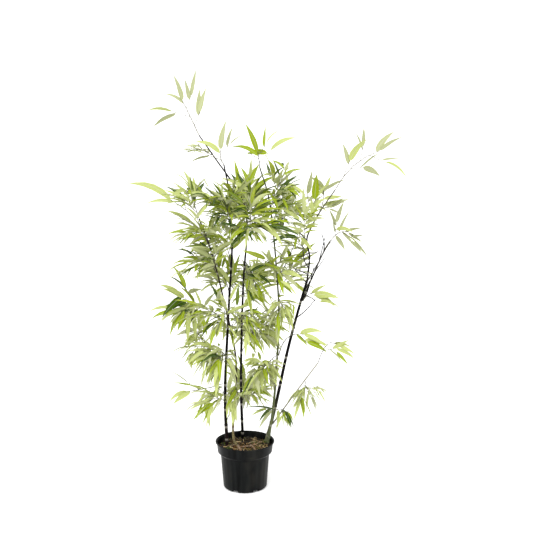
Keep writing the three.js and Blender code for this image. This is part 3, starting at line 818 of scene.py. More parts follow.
# The crown's sprays take the deep tone, whose dark leaves are partly painted shade inside the crown.
SPRAYS = [
    Spray("top", "cane_rear", "tip", (-190, 62, 1240), (-0.45, 0, 0.9), 3, 742, "pale", flat=True,
          sparse=True, leaf=1.15),
    Spray("top_low", "cane_rear", 1100, (-150, 80, 1088), (-0.9, 0.3, 0.1), 1, 64, "pale", fan=3, leaf=0.6),
    Spray("peak_left", "cane_left", "tip", (-66, -42, 1098), (0.35, 0, 0.93), 2, 908, "pale",
          flat=True, sparse=True, leaf=1.05),
    Spray("peak_right", "cane_right", "tip", (44, 0, 1085), (-0.25, 0, 0.97), 3, 908, "fresh",
          flat=True, sparse=True, leaf=1.1),
    Spray("crown_left", "cane_left", 850, (-65, -90, 965), (-0.4, -0.3, 0.8), 6, 101, "deep", finer=12),
    Spray("crown_middle", "cane_rear", 850, (20, -10, 960), (0.2, -0.3, 0.9), 6, 26, "deep", finer=14),
    Spray("crown_right", "cane_right", 850, (115, -50, 1000), (0.5, -0.4, 0.7), 5, 14, "deep", finer=14),
    Spray("crown_far", "cane_right", 780, (160, 100, 900), (0.7, 0.5, 0.4), 5, 78, "fresh", finer=6),
    Spray("crown_back", "cane_rear", 830, (-20, 170, 915), (-0.2, 0.9, 0.3), 5, 12, "green", bough=0.4,
          finer=9),
    Spray("crown_front", "cane_left", 790, (40, -170, 900), (0.6, -0.7, 0.2), 6, 75, "deep", bough=0.4,
          finer=12),
    Spray("upper_left", "cane_thin", "tip", (-152, -50, 960), (-0.1, 0, 1), 4, 91, "green", finer=3),
    Spray("long_left", "cane_thin", 850, (-226, 20, 934), (-0.87, 0, 0.45), 1, 1253, "fresh",
          flat=True, sparse=True, bough=0.5, leaf=1.5),
    Spray("left_high", "cane_thin", 780, (-140, -60, 858), (-0.9, -0.2, 0.3), 3, 21, "fresh", finer=6),
    Spray("left_back", "cane_left", 750, (-90, 100, 830), (-0.5, 0.7, 0.3), 3, 45, "green", finer=4),
    Spray("left_fan", "cane_thin", 690, (-125, -60, 755), (-0.9, -0.2, -0.1), 5, 3, "green", finer=7),
    Spray("left_rear", "cane_left", 610, (-85, 120, 680), (-0.5, 0.8, 0.1), 4, 32, "fresh", finer=8),
    Spray("left_long", "cane_left", 560, (-180, -10, 614), (-1, 0, -0.05), 2, 411, "green", flat=True,
          bough=0.45, fan=3, leaf=1.2, reach=30, finer=5),
    Spray("left_front", "cane_left", 520, (-78, -120, 600), (-0.5, -0.8, 0.1), 4, 10, "fresh", finer=8),
    Spray("left_low", "cane_left", 430, (-150, 60, 465), (-0.9, 0.3, 0), 3, 47, "fresh", bough=0.45,
          reach=20, finer=6),
    Spray("low_front", "cane_left", 400, (-80, -110, 460), (-0.4, -0.8, 0), 4, 97, "fresh", finer=18),
    Spray("low_left", "cane_left", 320, (-185, -20, 326), (-0.95, 0, -0.1), 2, 346, "fresh", flat=True,
          sparse=True),
    Spray("foot_left", "cane_thin", 260, (-115, -75, 310), (-0.7, -0.3, -0.5), 2, 58, "fresh", finer=3),
    Spray("mid_front", "cane_thin", 540, (-10, -125, 575), (0.3, -0.8, -0.3), 3, 28, "green", finer=16),
    Spray("foot_front", "cane_thin", 330, (-20, -75, 330), (0.1, -0.6, -0.8), 1, 55, "fresh", finer=12),
    Spray("mid_back", "cane_rear", 470, (60, 120, 500), (0.6, 0.6, -0.2), 3, 35, "fresh", finer=28),
    Spray("mid_star", "cane_right", 400, (58, -130, 430), (-0.3, -0.9, -0.2), 2, 105, "fresh",
          level=True, reach=24, finer=18),
    Spray("foot_back", "cane_rear", 300, (10, 120, 280), (0.2, 0.6, -0.7), 2, 78, "fresh", finer=16),
    Spray("heart_back", "cane_rear", 600, (40, 110, 640), (0.4, 0.8, 0.2), 2, 39, "green", finer=8),
    Spray("heart_front", "cane_rear", 680, (35, -90, 700), (0.4, -0.8, 0), 2, 108, "green", finer=6),
    Spray("right_front", "cane_right", 720, (85, -90, 735), (-0.2, -0.9, -0.2), 3, 23, "fresh", finer=3),
    Spray("right_back", "cane_right", 640, (160, 100, 690), (0.6, 0.7, 0.1), 3, 96, "fresh", finer=4),
    Spray("right_mid", "cane_right", 590, (120, -90, 620), (0.3, -0.8, -0.4), 1, 69, "fresh", finer=8),
    Spray("right_low", "cane_right", 480, (188, -60, 524), (0.95, -0.1, -0.2), 2, 135, "green",
          flat=True, bough=0.55, finer=2),
    Spray("branch_foot", "branch_low", 262, (120, -35, 262), (0.4, -0.4, -0.8), 1, 96, "green"),
    Spray("branch_mid", "branch_low", 344, (200, -70, 350), (0.8, -0.2, -0.4), 1, 182, "fresh"),
    Spray("branch_end", "branch_low", "tip", (292, -110, 505), (0.7, -0.2, -0.6), 1, 798, "fresh",
          flat=True),
    Spray("lean_right", "cane_leaning", 590, (224, -10, 646), (0.95, 0, -0.05), 1, 246, "fresh",
          flat=True, bough=0.5, finer=1),
    Spray("arch_right", "branch_right", "tip", (332, 60, 826), (0.85, 0, -0.45), 2, 1050, "pale",
          flat=True, finer=1),
    Spray("far_front", "branch_upright", 800, (195, -120, 870), (0.3, -0.8, 0.2), 2, 53, "green", finer=1),
    Spray("far_back", "branch_upright", 760, (160, 80, 800), (-0.5, 0.7, 0.2), 3, 72, "fresh", finer=1),
    Spray("far_peak", "branch_upright", 850, (196, -40, 962), (-0.1, 0, 1), 1, 313, "pale", flat=True,
          finer=1),
    Spray("far_upright", "branch_upright", 906, (250, 20, 962), (0, 0.1, 1), 1, 1050, "pale",
          flat=True, finer=1),
    Spray("far_right", "branch_upright", "tip", (420, 0, 1090), (0.95, 0, 0.3), 4, 1589, "pale",
          flat=True, sparse=True, leaf=1.1),
]
BOUGH_RADIUS = (1.9, 1.5)
BOUGH_STEPS = 4
BOUGH_NODES = (0.3, 0.72)  # shares of its length
STEM_RADIUS = (1.5, 1.0)
STEM_STEPS = 4
TWIG_RADIUS = (1.1, 0.8)
TWIG_LENGTH = (42, 64)
TWIG_ANGLE = 48
TWIG_SHARE = 0.82  # the part of a stem, from its end, that carries twigs
TWIG_LAST = 0.4
TWIG_SWING = 40
LEAF_LENGTH = 86
LEAF_WIDTH = 0.185
LEAF_SIZES = (0.68, 1.2)
LEAF_DROOP = 0.22
LEAST_DROOP = 0.3
FAN_STEP = 27
FLAT_STEP = 34
FAN_STAGGER = 11
FAN_SUNK = 3
FAN_ROLL = 40
FAN_TRIES = 4

FINE_LEAVES = 3  # more leaves for each fan of a spray with finer twigs
FINE_FAN, TWIGLET_FAN, FLAT_TWIGLET_FAN = 4, 3, 2  # leaves on the twigs that come later
FINE_SEED = 7  # more than its spray's own
RANKS = 5  # how many leaves a twig holds before the next lies over the first
FINE_SIZES = (0.6, 1.0)
FINE_DROOPS = (-0.1, 0.7)
LOW_DROOPS = (0.1, 1.7)  # leaves under this height hang more
LOW_LEAVES = 600
FINE_SWING = 2
FINE_FROM, FINE_OVER = 0.3, 0.65  # the part of a stem that they share, from its foot
TWIGLET_LENGTH = (20, 38)
TWIGLET_SHARES = (0.25, 0.5, 0.75)  # where a twig carries its twiglets
TWIGLET_ANGLE = 42
TWIGLET_RADIUS = (0.65, 0.5)
FINE_TWIG_RADIUS = (0.9, 0.6)
FINE_NEARNESS = 0.15  # how near leaves of two sprays may come, as a share of half widths
SEEN_CANES = ("cane_left", "cane_rear", "cane_leaning")
SEEN_BELOW = 790  # up to this height no finer leaf hangs in front of those canes
SEEN_WIDTH = 7
SEEN_SHARES = (0.15, 0.4, 0.65, 0.9)  # places along a leaf that are looked at


def hides_cane(root, tip):
    """Whether a leaf hangs close in front of a cane that shows below the crown."""
    for share in SEEN_SHARES:
        x, y, z = root + (tip - root) * share
        if z > SEEN_BELOW:
            continue
        for name in SEEN_CANES:
            path = limbs[name]["path"]
            level = min(path, key=lambda place: abs(place[2] - z))
            if y < level[1] and abs(x - level[0]) < SEEN_WIDTH and z < path[-1][2]:
                return True
    return False


def arched_line(first, bend, end, count):
    """Evenly spaced points on the arch that leaves along first-bend and ends at end."""
    shares = np.linspace(0, 1, 201)[:, None]
    fine = (1 - shares) ** 2 * first + 2 * shares * (1 - shares) * bend + shares**2 * end
    run = np.concatenate([[0], np.cumsum(steps_of(fine))])
    even = np.interp(np.linspace(0, run[-1], count + 1), run, shares[:, 0])[:, None]
    return list((1 - even) ** 2 * first + 2 * even * (1 - even) * bend + even**2 * end)


def stretch(path, low, high, count):
    """The part of a line from one distance to another, as count + 1 points."""
    return [along(path, low + (high - low) * step / count)[0] for step in range(count + 1)]


new_fan = itertools.count(1).__next__  # a number for the leaves of one twig


def is_inside(place, space):
    """Whether a place is between the two corners of a space."""
    return ((place > space[0]) & (place < space[1])).all()


def grow_fan(spray, line, fan, plane, draw, leaves, count=None, begun=0, space=None):
    """Leaves near the end of a twig, from side to side in one plane. Finer ones come after
    the `begun` leaves that the twig has, and have to stay in their spray's own space."""
    step = FLAT_STEP if spray.flat else FAN_STEP
    whole = steps_of(line).sum()
    for number in range(begun, begun + (count or spray.fan)):
        rank = math.ceil(number / 2) * (-1 if number % 2 == 0 else 1)
        back = FAN_SUNK + FAN_STAGGER * number
        if space and back > whole:
            break
        root, heading = along(line, whole - back)
        length = LEAF_LENGTH * spray.leaf * spread(draw, *LEAF_SIZES)
        if space:
            rank = math.remainder(rank, RANKS)
            length *= spread(draw, *FINE_SIZES)
        for attempt in range(FAN_TRIES):
            swing = (FINE_SWING if space else 1) + attempt
            angle = rank * step + (draw() - 0.5) * step * swing
            droop = LEAF_DROOP * (LEAST_DROOP + draw() + attempt / 2)
            if space:
                hangs = root[2] < LOW_LEAVES and not spray.level
                droop = spread(draw, *(LOW_DROOPS if hangs else FINE_DROOPS))
            direction = normalized(turned(heading, plane, angle) - UP * droop)
            roll = (draw() - 0.5) * 2 * FAN_ROLL
            side = turned(square_to(direction, np.cross(plane, direction)), direction, roll)
            tip = root + direction * length
            half = length * LEAF_WIDTH / 2
            if space and (not is_inside(tip, space) or hides_cane(root, tip)):
                continue
            nearness = FINE_NEARNESS if space else 1.0
            if bars.is_free(root, tip, half, spray.name, fan, nearness):
                leaves.append(dict(root=root, tip=tip, side=side, length=length, spray=spray))
                bars.claim([root, tip], half, spray.name, fan)
                break


def grow_spray(spray, stem, draw, leaves, twigs):
    """The side twigs and leaves of one spray, as its solid has them."""
    length = steps_of(stem).sum()
    face = FRONT if spray.flat else UP
    tip_plane = square_to(along(stem, length)[1], face)
    fans = [(stem, new_fan(), tip_plane)]
    grow_fan(spray, stem, fans[0][1], tip_plane, draw, leaves)
    roll = 0 if spray.flat else 360 * draw()
    for number in range(spray.shoots):
        share = 1 - TWIG_SHARE * (number + 1) / (spray.shoots + TWIG_LAST)
        place, direction = along(stem, length * share)
        across = np.cross(FRONT, direction) if spray.flat else UP
        reach = spread(draw, *TWIG_LENGTH)
        for _ in range(FAN_TRIES):
            roll += 180 + TWIG_SWING * (draw() - 0.5) if spray.flat else GOLDEN
            out = turned(square_to(direction, across), direction, roll)
            heading = turned(direction, np.cross(direction, out), TWIG_ANGLE)
            twig = [place, place + heading * reach]
            if bars.is_free(*twig, TWIG_RADIUS[0], spray.name):
                twigs.append(twig)
                bars.claim(twig, TWIG_RADIUS[0], spray.name)
                lean = (draw() - 0.5) * 2 * FAN_ROLL
                plane = turned(square_to(heading, face), heading, lean)
                fans.append((twig, new_fan(), plane))
                grow_fan(spray, twig, fans[-1][1], plane, draw, leaves)
                break
    return fans


def grow_finer(spray, stem, fans, draw, leaves, twiglets):
    """More twigs and leaves on a spray, and twiglets that carry fans of their own."""
    low, high = (np.array(corner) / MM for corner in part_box("leaves_" + spray.name))
    space = (low - spray.reach, high + spray.reach)
    face = FRONT if spray.flat else UP

    def side_twig(line, share, heading, reach, radii, count):
        place, _ = along(line, steps_of(line).sum() * share)
        twig = [place, place + heading * reach]
        if is_inside(twig[1], space) and bars.is_free(*twig, radii[0], spray.name):
            bars.claim(twig, radii[0], spray.name)
            plane = turned(square_to(heading, face), heading, (draw() - 0.5) * 2 * FAN_ROLL)
            fan, before = new_fan(), len(leaves)
            grow_fan(spray, twig, fan, plane, draw, leaves, count, 0, space)
            if len(leaves) > before:
                twiglets.append(dict(line=twig, radii=radii))
                fans.append((twig, fan, plane))

    more = FINE_LEAVES if spray.finer else 1
    for line, fan, plane in fans[:]:
        grow_fan(spray, line, fan, plane, draw, leaves, more, spray.fan, space)
    for number in range(spray.finer):
        share = FINE_FROM + FINE_OVER * (number + draw()) / spray.finer
        direction = along(stem, steps_of(stem).sum() * share)[1]
        out = turned(square_to(direction, UP), direction, 360 * draw())
        heading = turned(direction, np.cross(direction, out), TWIG_ANGLE)
        side_twig(stem, share, heading, spread(draw, *TWIG_LENGTH), FINE_TWIG_RADIUS, FINE_FAN)
    count = FLAT_TWIGLET_FAN if spray.flat else TWIGLET_FAN
    for number, (line, _, plane) in enumerate(fans[1:]):
        direction = along(line, 1)[1]
        for turn, share in enumerate(TWIGLET_SHARES[1:2] if spray.flat else TWIGLET_SHARES):
            angle = TWIGLET_ANGLE * (1 if (turn + number) % 2 else -1)
            heading = turned(direction, plane, angle)
            reach = spread(draw, *TWIGLET_LENGTH)
            side_twig(line, share, heading, reach, TWIGLET_RADIUS, count)


leaves, twigs, twiglets = [], [], []
boughs, stems = {}, []
for spray in SPRAYS:
    end = np.array(spray.end, float)
    first = start_from(seat_on(limbs[spray.on], spray.at), end, BOUGH_RADIUS[0])
    heading = normalized(np.array(spray.heading, float))
    bend = end - heading * math.dist(first, end) / 2
    path = arched_line(first, bend, end, BOUGH_STEPS + STEM_STEPS)
    length = steps_of(path).sum()
    bare = length * spray.bough
    if bare:
        name = "bough_" + spray.name
        boughs[name] = stretch(path, 0, bare, BOUGH_STEPS)
        bars.claim(boughs[name], BOUGH_RADIUS[0], name)
    stems.append(stretch(path, bare + GAP if bare else 0, length, STEM_STEPS))
    bars.claim(stems[-1], STEM_RADIUS[0], spray.name)
grown = [
    grow_spray(spray, stem, seeded(spray.seed), leaves, twigs)
    for spray, stem in zip(SPRAYS, stems)
]
leaves = [leaf for leaf in leaves if not hides_cane(leaf["root"], leaf["tip"])]
for spray, stem, fans in zip(SPRAYS, stems, grown):
    if not spray.sparse:
        grow_finer(spray, stem, fans, seeded(spray.seed + FINE_SEED), leaves, twiglets)


def twig_bark(name, colour, paler):
    """Dull bark with paler flecks along it."""
    finish = Finish(name, colour, 0.5, 0.2)
    flecks = finish.speckle(300, (1, 1, 0.3))
    finish.drive("Base Color", finish.blend(finish.between(flecks, 0.45, 0.65), colour, paler))
    finish.relief(flecks, 0.3, 0.1 * MM)
    return finish.material


bough_bark = twig_bark("bough_bark", (0.075, 0.07, 0.05), (0.19, 0.185, 0.14))
for name, path in boughs.items():
    bough = limb_along(
        path, BOUGH_RADIUS, lambda length: [length * share for share in BOUGH_NODES]
    )
    piece = link_piece(name.replace("bough", "arm"), grow_tube(bough, sink=GAP), bough_bark)
    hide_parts(name)

TWIG_SIDES = 6
TWIG_NODE_SPACING = 14
TWIG_NODE = (-1.6, -0.7, 0.1)  # where a twig's thickness changes round a node
TWIG_BUD = (-1.5, 0)
NODE_SWELL = 1.35
TIP_SHRINK = 0.75
ASIDE = np.array([0.3, 0.9, 0.3])  # the side of a twig that its first corner is on, roughly


def twig_line(line, radii):
    """Places and radii along a twig, with a swollen node every centimetre or so."""
    length = steps_of(line).sum()
    count = max(1, round(length / TWIG_NODE_SPACING))
    places = [0.0]
    for number in range(1, count + 1):
        node = length * number / count
        places += [node + offset for offset in (TWIG_NODE if number < count else TWIG_BUD)]
    swells = [1.0 if number % 3 else NODE_SWELL for number in range(len(places))]
    swells[0], swells[-1] = 1.0, TIP_SHRINK
    taper = radii[1] - radii[0]
    radius = [(radii[0] + taper * at / length) * swell * MM for at, swell in zip(places, swells)]
    return [along(line, min(place, length))[0] * MM for place in places], radius


def joined_tubes(name, lines, finish):
    """One mesh of many thin tubes: each is rings of a few corners joined up by quads."""
    corners, faces = [], []
    for line in lines:
        places, radii = twig_line(**line)
        normal = ASIDE
        first = len(corners)
        for number, (place, radius) in enumerate(zip(places, radii)):
            ahead = places[min(number + 1, len(places) - 1)] - places[max(number - 1, 0)]
            direction = normalized(ahead)
            normal = square_to(direction, normal)
            across = np.cross(direction, normal)
            for side in range(TWIG_SIDES):
                turn = 2 * math.pi * side / TWIG_SIDES
                out = normal * math.cos(turn) + across * math.sin(turn)
                corners.append(place + out * radius)
        for ring in range(first, len(corners) - TWIG_SIDES, TWIG_SIDES):
            for side in range(TWIG_SIDES):
                low, low_after = ring + side, ring + (side + 1) % TWIG_SIDES
                faces.append((low, low_after, low_after + TWIG_SIDES, low + TWIG_SIDES))
        faces.append(tuple(range(first + TWIG_SIDES - 1, first - 1, -1)))
        faces.append(tuple(range(len(corners) - TWIG_SIDES, len(corners))))
    mesh = bpy.data.meshes.new(name)
    mesh.from_pydata(corners, [], faces)
    return dress(name, mesh, finish)


STEM_THINNING = 0.8  # the wood of a twig beside the bar that stands for it
STEM_BARKS = {
    "dark": twig_bark("stem_bark", (0.03, 0.025, 0.018), (0.1, 0.095, 0.065)),
    "pale": twig_bark("pale_stem_bark", (0.13, 0.12, 0.09), (0.28, 0.27, 0.21)),
}
thinned = np.array(STEM_RADIUS) * STEM_THINNING
stem_lines = {"dark": [], "pale": []}
for spray, stem in zip(SPRAYS, stems):
    pale = spray.tone == "pale"
    line = dict(line=stem, radii=STEM_RADIUS if pale else thinned)
    stem_lines["pale" if pale else "dark"].append(line)
for shade, bark in STEM_BARKS.items():
    joined_tubes(f"{shade}_stems", stem_lines[shade], bark)
thinned = np.array(TWIG_RADIUS) * STEM_THINNING
side_twigs = [dict(line=twig, radii=thinned) for twig in twigs]
twig_finish = twig_bark("twig_bark", (0.085, 0.08, 0.05), (0.19, 0.19, 0.12))
joined_tubes("side_twigs", side_twigs, twig_finish)
twiglet_finish = twig_bark("twiglet_bark", (0.12, 0.13, 0.05), (0.24, 0.25, 0.12))
joined_tubes("twiglets", twiglets, twiglet_finish)

# ------------------------------------------------------------------ bare wands
# Where the leaning cane forks, a tuft of thin black branchlets has shed its leaves. They
# start inside the cane, fork again on their way up and end in dry buds.

WANDS = (  # the limb and the height that a wand leaves it at, and the places that it passes
    ("cane_leaning", 676, (228, 10, 730), (259, 20, 784), (276, 25, 807)),
    ("cane_leaning", 640, (204, 14, 672), (223, 26, 705), (255, 44, 747)),
    ("cane_leaning", 608, (198, 8, 640), (212, 24, 690), (222, 30, 726)),
    ("cane_leaning", 672, (172, -2, 706), (150, -6, 731)),
    ("cane_leaning", 633, (208, -2, 630), (225, -8, 618)),
    ("branch_right", 735, (243, 16, 772), (255, 25, 821)),
    ("branch_right", 768, (252, 26, 798), (243, 34, 828)),
    ("branch_upright", 751, (190, -24, 757), (172, -32, 759)),
    ("branch_upright", 771, (188, -26, 768), (166, -32, 764)),
    ("branch_upright", 773, (217, -24, 775), (232, -32, 782)),
    ("branch_upright", 728, (188, -14, 752), (183, -20, 800)),
    ("branch_upright", 812, (176, -34, 838), (152, -40, 858), (118, -44, 860)),
    ("branch_upright", 700, (176, -10, 716), (152, -18, 726)),
    ("cane_right", 672, (118, -12, 706), (136, -22, 752), (157, -26, 802)),
    ("cane_right", 690, (126, -16, 730), (150, -20, 776)),
    ("cane_leaning", 560, (196, -14, 592), (228, -24, 634)),
)
WAND_RADII = (1.8, 0.95)
WAND_STEPS = 12

wand_lines = []
for name, height, *passes in WANDS:
    leaving = min(limbs[name]["path"], key=lambda place: abs(place[2] - height))
    wand = smooth_line([leaving, *passes], WAND_STEPS)
    wand_lines.append(dict(line=wand, radii=WAND_RADII))
wand_piece = joined_tubes("fork_wands", wand_lines, twig_bark("wand_bark", BLACK, (0.05, 0.045, 0.04)))

# ------------------------------------------------------------------ foot sheaths and roots
# Dry, papery sheaths still wrap the canes' feet. A stout rhizome joins the thin cane to the
# clump along the top of the compost, and one bare root crosses it at the front.

SHEATHS = (  # cane, dry or green, from and to along it, half wrap in degrees, facing in degrees
    ("cane_thin", "dry", 3, 52, 150, -70),
    ("cane_thin", "dry", 36, 88, 120, 160),
    ("cane_leaning", "green", 3, 52, 140, -60),
    ("cane_leaning", "green", 36, 84, 100, 40),
    ("cane_right", "green", 3, 46, 130, -110),
)
SHEATH_STEPS = (14, 7)
SHEATH_LIFT = 0.35
SHEATH_FLARE = 0.9
SHEATH_WALL = 0.25
SHEATH_FIT = 1.1  # how much wider than its cane
SHEATH_POINT = 0.55  # how much of its height its edges fall short of its tip
CRINKLE = 0.25


def sheath_on(bm, limb, low, high, wrap, facing):
    """One sheath: a sheet wrapped round a cane, drawn out to a point on its front."""
    wide, tall = SHEATH_STEPS
    sheet = bmesh.ops.create_grid(bm, x_segments=wide, y_segments=tall, size=1)["verts"]
    for corner in sheet:
        off, rise = corner.co.x, (corner.co.y + 1) / 2
        top = high - (high - low) * SHEATH_POINT * abs(off) ** 1.3
        distance = low + (top - low) * rise
        place, direction = along(limb["path"], distance)
        front = turned(square_to(direction, SIDE), direction, facing + off * wrap)
        crinkle = CRINKLE * noise.noise((off * 5, rise * 6, low))
        flare = SHEATH_LIFT + SHEATH_FLARE * rise**3 + crinkle
        corner.co = (place + front * (radius_at(limb, distance) * SHEATH_FIT + flare)) * MM
    faces = list({face for corner in sheet for face in corner.link_faces})
    bmesh.ops.solidify(bm, geom=faces, thickness=SHEATH_WALL * MM)


SHEATH_FINISHES = {
    "dry": litter_colour("dry_sheath", (0.25, 0.22, 0.1), (0.1, 0.075, 0.04)),
    "green": litter_colour("green_sheath", (0.13, 0.15, 0.085), (0.055, 0.065, 0.03), 0.6),
}
for kind, finish in SHEATH_FINISHES.items():
    sheaths = bmesh.new()
    for cane, state, *measures in SHEATHS:
        if state == kind:
            sheath_on(sheaths, limbs[cane], *measures)
    bmesh.ops.recalc_face_normals(sheaths, faces=sheaths.faces[:])
    link_piece(f"{kind}_sheaths", sheaths, finish)

ROOTS = (  # passes in millimetres and the radii at both ends
    (((-22, -13, 141), (-20, -24, 142), (-15, -42, 141), (-8, -56, 134)), (4.2, 3.2)),
    (((16, -4, 139), (20, -14, 144), (27, -30, 144), (35, -46, 138)), (2.4, 1.8)),
    (((24, -22, 143), (6, -24, 144), (-14, -26, 141)), (1.8, 2.2)),
    (((54, 30, 139), (44, 10, 143), (30, -2, 139)), (2.2, 1.5)),
)
ROOT_BROWN = (0.2, 0.12, 0.07)
ROOT_STEPS = 24
ROOT_NODES = (9, 11, 6)  # the first, from one to the next, and how far from the end they stop
for number, (passes, radii) in enumerate(ROOTS):
    first, step, last = ROOT_NODES
    root = limb_along(
        smooth_line(passes, ROOT_STEPS), radii,
        lambda length: list(np.arange(first, length - last, step)),
    )
    finish = cane_bark(f"root_bark_{number}", ROOT_BROWN, ROOT_BROWN, (0.1, 0.2), 0.6)
    piece = link_piece(f"bare_root_{number}", grow_tube(root, relief_scale=0.5), finish)

# ------------------------------------------------------------------ leaves
# A leaf is a narrow blade on a short stalk: rounded at its base, widest at a third of its
# length and drawn out to a fine tip, folded a little along its midrib, arched by its own
# weight and paler below. One blade is shaped from a grid, and all leaves are its copies.

BLADE_OUTLINE = (  # share of the length, share of the half width
    (0, 0.07), (0.035, 0.07), (0.06, 0.42), (0.13, 0.8), (0.28, 1), (0.46, 0.93),
    (0.65, 0.68), (0.83, 0.34), (0.94, 0.11), (1, 0),
)
BLADE_WIDTHS = (0.115, 0.18)
FLAT_BROADER = 1.42  # on the open sprays round the edge, however long their leaves are
BLADE_THICKNESS = 0.35
BLADE_RISE = (0.02, 0.15)
BLADE_FOLD = (0.05, 0.45)
BLADE_TWIST = 30
TWIST_FROM = 0.2  # the share of its length where a blade isn't turned
VEIN_WIDTH = 0.045  # as a share of the blade's width
SAME_CORNER = 1e-4
TONE_SEED = 11
BLADE_SEED = 31
# The deep tone is partly the darker green of older leaves and partly painted shade: its dark leaves stand
# for the shade inside the crown.
TONES = {  # above, below
    "deep": ((0.04, 0.078, 0.001), (0.11, 0.16, 0.003)),
    "green": ((0.235, 0.305, 0.005), (0.31, 0.37, 0.03)),
    "fresh": ((0.395, 0.445, 0.145), (0.44, 0.48, 0.21)),
    "pale": ((0.35, 0.375, 0.19), (0.38, 0.4, 0.23)),
}
TONE_SHARES = {  # how the leaves of a spray share out over the tones
    "deep": (0.26, 0.26, 0.38, 0.1),
    "green": (0.12, 0.36, 0.42, 0.1),
    "fresh": (0.02, 0.22, 0.56, 0.2),
    "pale": (0, 0.04, 0.2, 0.76),
}


def blade_shape():
    """Corners (across, along, layer), faces, and (across, along) of each face corner."""
    blade = bmesh.new()
    rows = len(BLADE_OUTLINE)
    bmesh.ops.create_grid(blade, x_segments=2, y_segments=rows - 1, size=1)
    across_layer = blade.verts.layers.float.new("across")
    for corner in blade.verts:
        share, half = BLADE_OUTLINE[round((corner.co.y + 1) / 2 * (rows - 1))]
        corner[across_layer] = corner.co.x
        corner.co = (corner.co.x * half, share, 0)
    upper = blade.faces[:]
    bmesh.ops.recalc_face_normals(blade, faces=upper)
    if upper[0].normal.z < 0:
        bmesh.ops.reverse_faces(blade, faces=upper)
    copy = bmesh.ops.duplicate(blade, geom=blade.verts[:] + blade.edges[:] + upper)["geom"]
    lower = [item for item in copy if isinstance(item, bmesh.types.BMFace)]
    bmesh.ops.reverse_faces(blade, faces=lower)
    for face in lower:
        face.material_index = 1
    for corner in (item for item in copy if isinstance(item, bmesh.types.BMVert)):
        if abs(corner[across_layer]) < 0.5 and 0 < corner.co.y < 1:
            corner.co.z = -1
    bmesh.ops.remove_doubles(blade, verts=blade.verts[:], dist=SAME_CORNER)
    blade.verts.index_update()
    corners = np.array([corner.co[:] for corner in blade.verts])
    faces = [[corner.index for corner in face.verts] for face in blade.faces]
    marks = [
        (corner[across_layer] / 2 + 0.5, corner.co.y)
        for face in blade.faces for corner in face.verts
    ]
    sides = [face.material_index for face in blade.faces]
    blade.free()
    return corners, faces, np.array(marks), sides


def leaf_skin(name, colour, paler_rib):
    """A satin blade with fine veins along it, a midrib, and a dry shade at its very tip."""
    finish = Finish(name, colour, 0.45, 0.12)
    marks = finish.add("SeparateXYZ", {"Vector": finish.add("UVMap")["UV"]})
    rib = finish.between(finish.figure("PINGPONG", marks["X"], 0.5), 0.44, 0.5)
    veins = finish.between(finish.figure("PINGPONG", marks["X"], VEIN_WIDTH), 0, VEIN_WIDTH)
    darker = tuple(channel * 0.84 for channel in colour)
    bright = tuple(min(1.0, channel * 1.1) for channel in colour)
    ribbed = finish.blend(rib, finish.blend(veins, darker, bright), paler_rib)
    dry = finish.between(marks["Y"], 0.93, 1.0, 0, 0.6)
    finish.drive("Base Color", finish.blend(dry, ribbed, (0.33, 0.27, 0.1)))
    finish.relief(veins, 0.25, 0.12 * MM)
    return finish.material


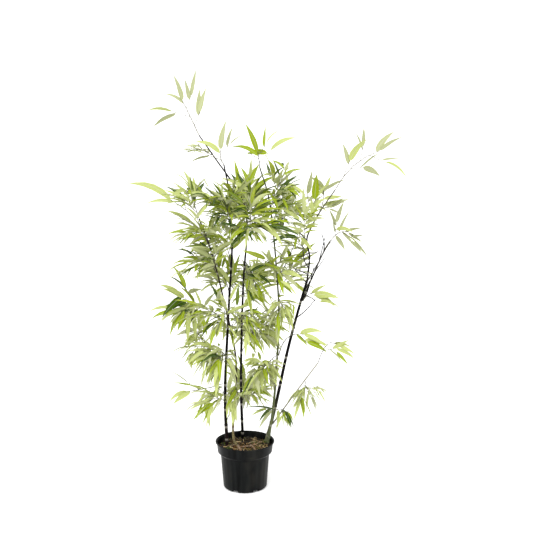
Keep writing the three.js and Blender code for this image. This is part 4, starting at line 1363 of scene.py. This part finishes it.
def set_blades(name, chosen, shape, draw, finishes):
    """One mesh of many leaves, each a copy of the blade bent along its own line."""
    corners, faces, marks, sides = shape
    root, tip, side = (np.array([leaf[key] for leaf in chosen]) for key in ("root", "tip", "side"))
    length = np.array([leaf["length"] for leaf in chosen])[:, None]
    amounts = np.array([[draw() for _ in range(4)] for _ in chosen])

    def amount(column, low, high):
        return (low + (high - low) * amounts[:, column])[:, None]

    sprays = [leaf["spray"] for leaf in chosen]
    broader = np.array([FLAT_BROADER / spray.leaf if spray.flat else 1 for spray in sprays])
    width = length * amount(0, *BLADE_WIDTHS) * broader[:, None] / 2
    chord = (tip - root) / length
    lift = UP - chord * chord[:, 2:]
    bend = (root + tip) / 2 + lift * length * amount(1, *BLADE_RISE) * 2
    t = corners[:, 1][None, :, None]
    spine = (1 - t) ** 2 * root[:, None] + 2 * t * (1 - t) * bend[:, None] + t**2 * tip[:, None]
    tangent = (1 - t) * (bend - root)[:, None] + t * (tip - bend)[:, None]
    tangent /= np.linalg.norm(tangent, axis=2, keepdims=True)
    across = side[:, None] - tangent * (side[:, None] * tangent).sum(2, keepdims=True)
    across /= np.linalg.norm(across, axis=2, keepdims=True)
    above = np.cross(tangent, across)
    twist = np.radians(BLADE_TWIST) * amount(2, -1, 1)[:, :, None] * (t - TWIST_FROM)
    across, above = (
        across * np.cos(twist) + above * np.sin(twist),
        above * np.cos(twist) - across * np.sin(twist),
    )
    off = corners[:, 0][None, :, None] * width[:, :, None]
    fold = np.abs(off) * amount(3, *BLADE_FOLD)[:, :, None]
    keel = corners[:, 2][None, :, None] * BLADE_THICKNESS
    places = (spine + across * off + above * (fold + keel)) * MM
    all_faces = [
        [index + len(corners) * number for index in face]
        for number in range(len(chosen)) for face in faces
    ]
    mesh = bpy.data.meshes.new(name)
    mesh.from_pydata(places.reshape(-1, 3), [], all_faces)
    layer = mesh.uv_layers.new(name="blade")
    layer.data.foreach_set("uv", np.tile(marks, (len(chosen), 1)).ravel())
    mesh.polygons.foreach_set("material_index", np.tile(sides, len(chosen)).astype(np.int32))
    return dress(name, mesh, *finishes)


tone_draw = seeded(TONE_SEED)
by_tone = {tone: [] for tone in TONES}
for leaf in leaves:
    share = tone_draw()
    for tone, part in zip(TONES, TONE_SHARES[leaf["spray"].tone]):
        share -= part
        if share < 0:
            break
    by_tone[tone].append(leaf)
blade = blade_shape()
for tone, (above, below) in TONES.items():
    rib = tuple(channel * 0.6 + 0.2 for channel in above)
    finishes = [
        leaf_skin(f"leaf_{tone}_{side}", colour, rib)
        for side, colour in (("above", above), ("below", below))
    ]
    draw = seeded(BLADE_SEED + len(tone))
    piece = set_blades(f"blades_{tone}", by_tone[tone], blade, draw, finishes)
    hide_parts(*["leaves_" + spray.name for spray in SPRAYS if spray.tone == tone])

# ------------------------------------------------------------------ floor and light
# A wide pale floor under an even white sky, with soft light from the upper left.

FLOOR_RADIUS = 40
FLOOR_DROP = 0.4 * MM  # how far under the pot's pads it lies

floor = bmesh.new()
bmesh.ops.create_circle(floor, cap_ends=True, segments=96, radius=FLOOR_RADIUS)
floor_mesh = bpy.data.meshes.new("floor")
floor.to_mesh(floor_mesh)
floor.free()
floor_piece = bpy.data.objects.new("floor", floor_mesh)
floor_piece.location.z = -FLOOR_DROP
bpy.context.scene.collection.objects.link(floor_piece)
floor_mesh.materials.append(Finish("floor_white", (0.97, 0.97, 0.97), 0.9).material)

world = bpy.data.worlds.new("studio")
world.use_nodes = True
world.node_tree.nodes["Background"].inputs["Color"].default_value = (1, 1, 1, 1)
world.node_tree.nodes["Background"].inputs["Strength"].default_value = 1.3
bpy.context.scene.world = world
bpy.context.scene.view_settings.view_transform = "Standard"

sun_data = bpy.data.lights.new("soft_sun", "SUN")
sun_data.energy = 2.3
sun_data.angle = math.radians(50)
sun = bpy.data.objects.new("soft_sun", sun_data)
sun.rotation_euler = (math.radians(44), math.radians(-14), 0)
bpy.context.scene.collection.objects.link(sun)
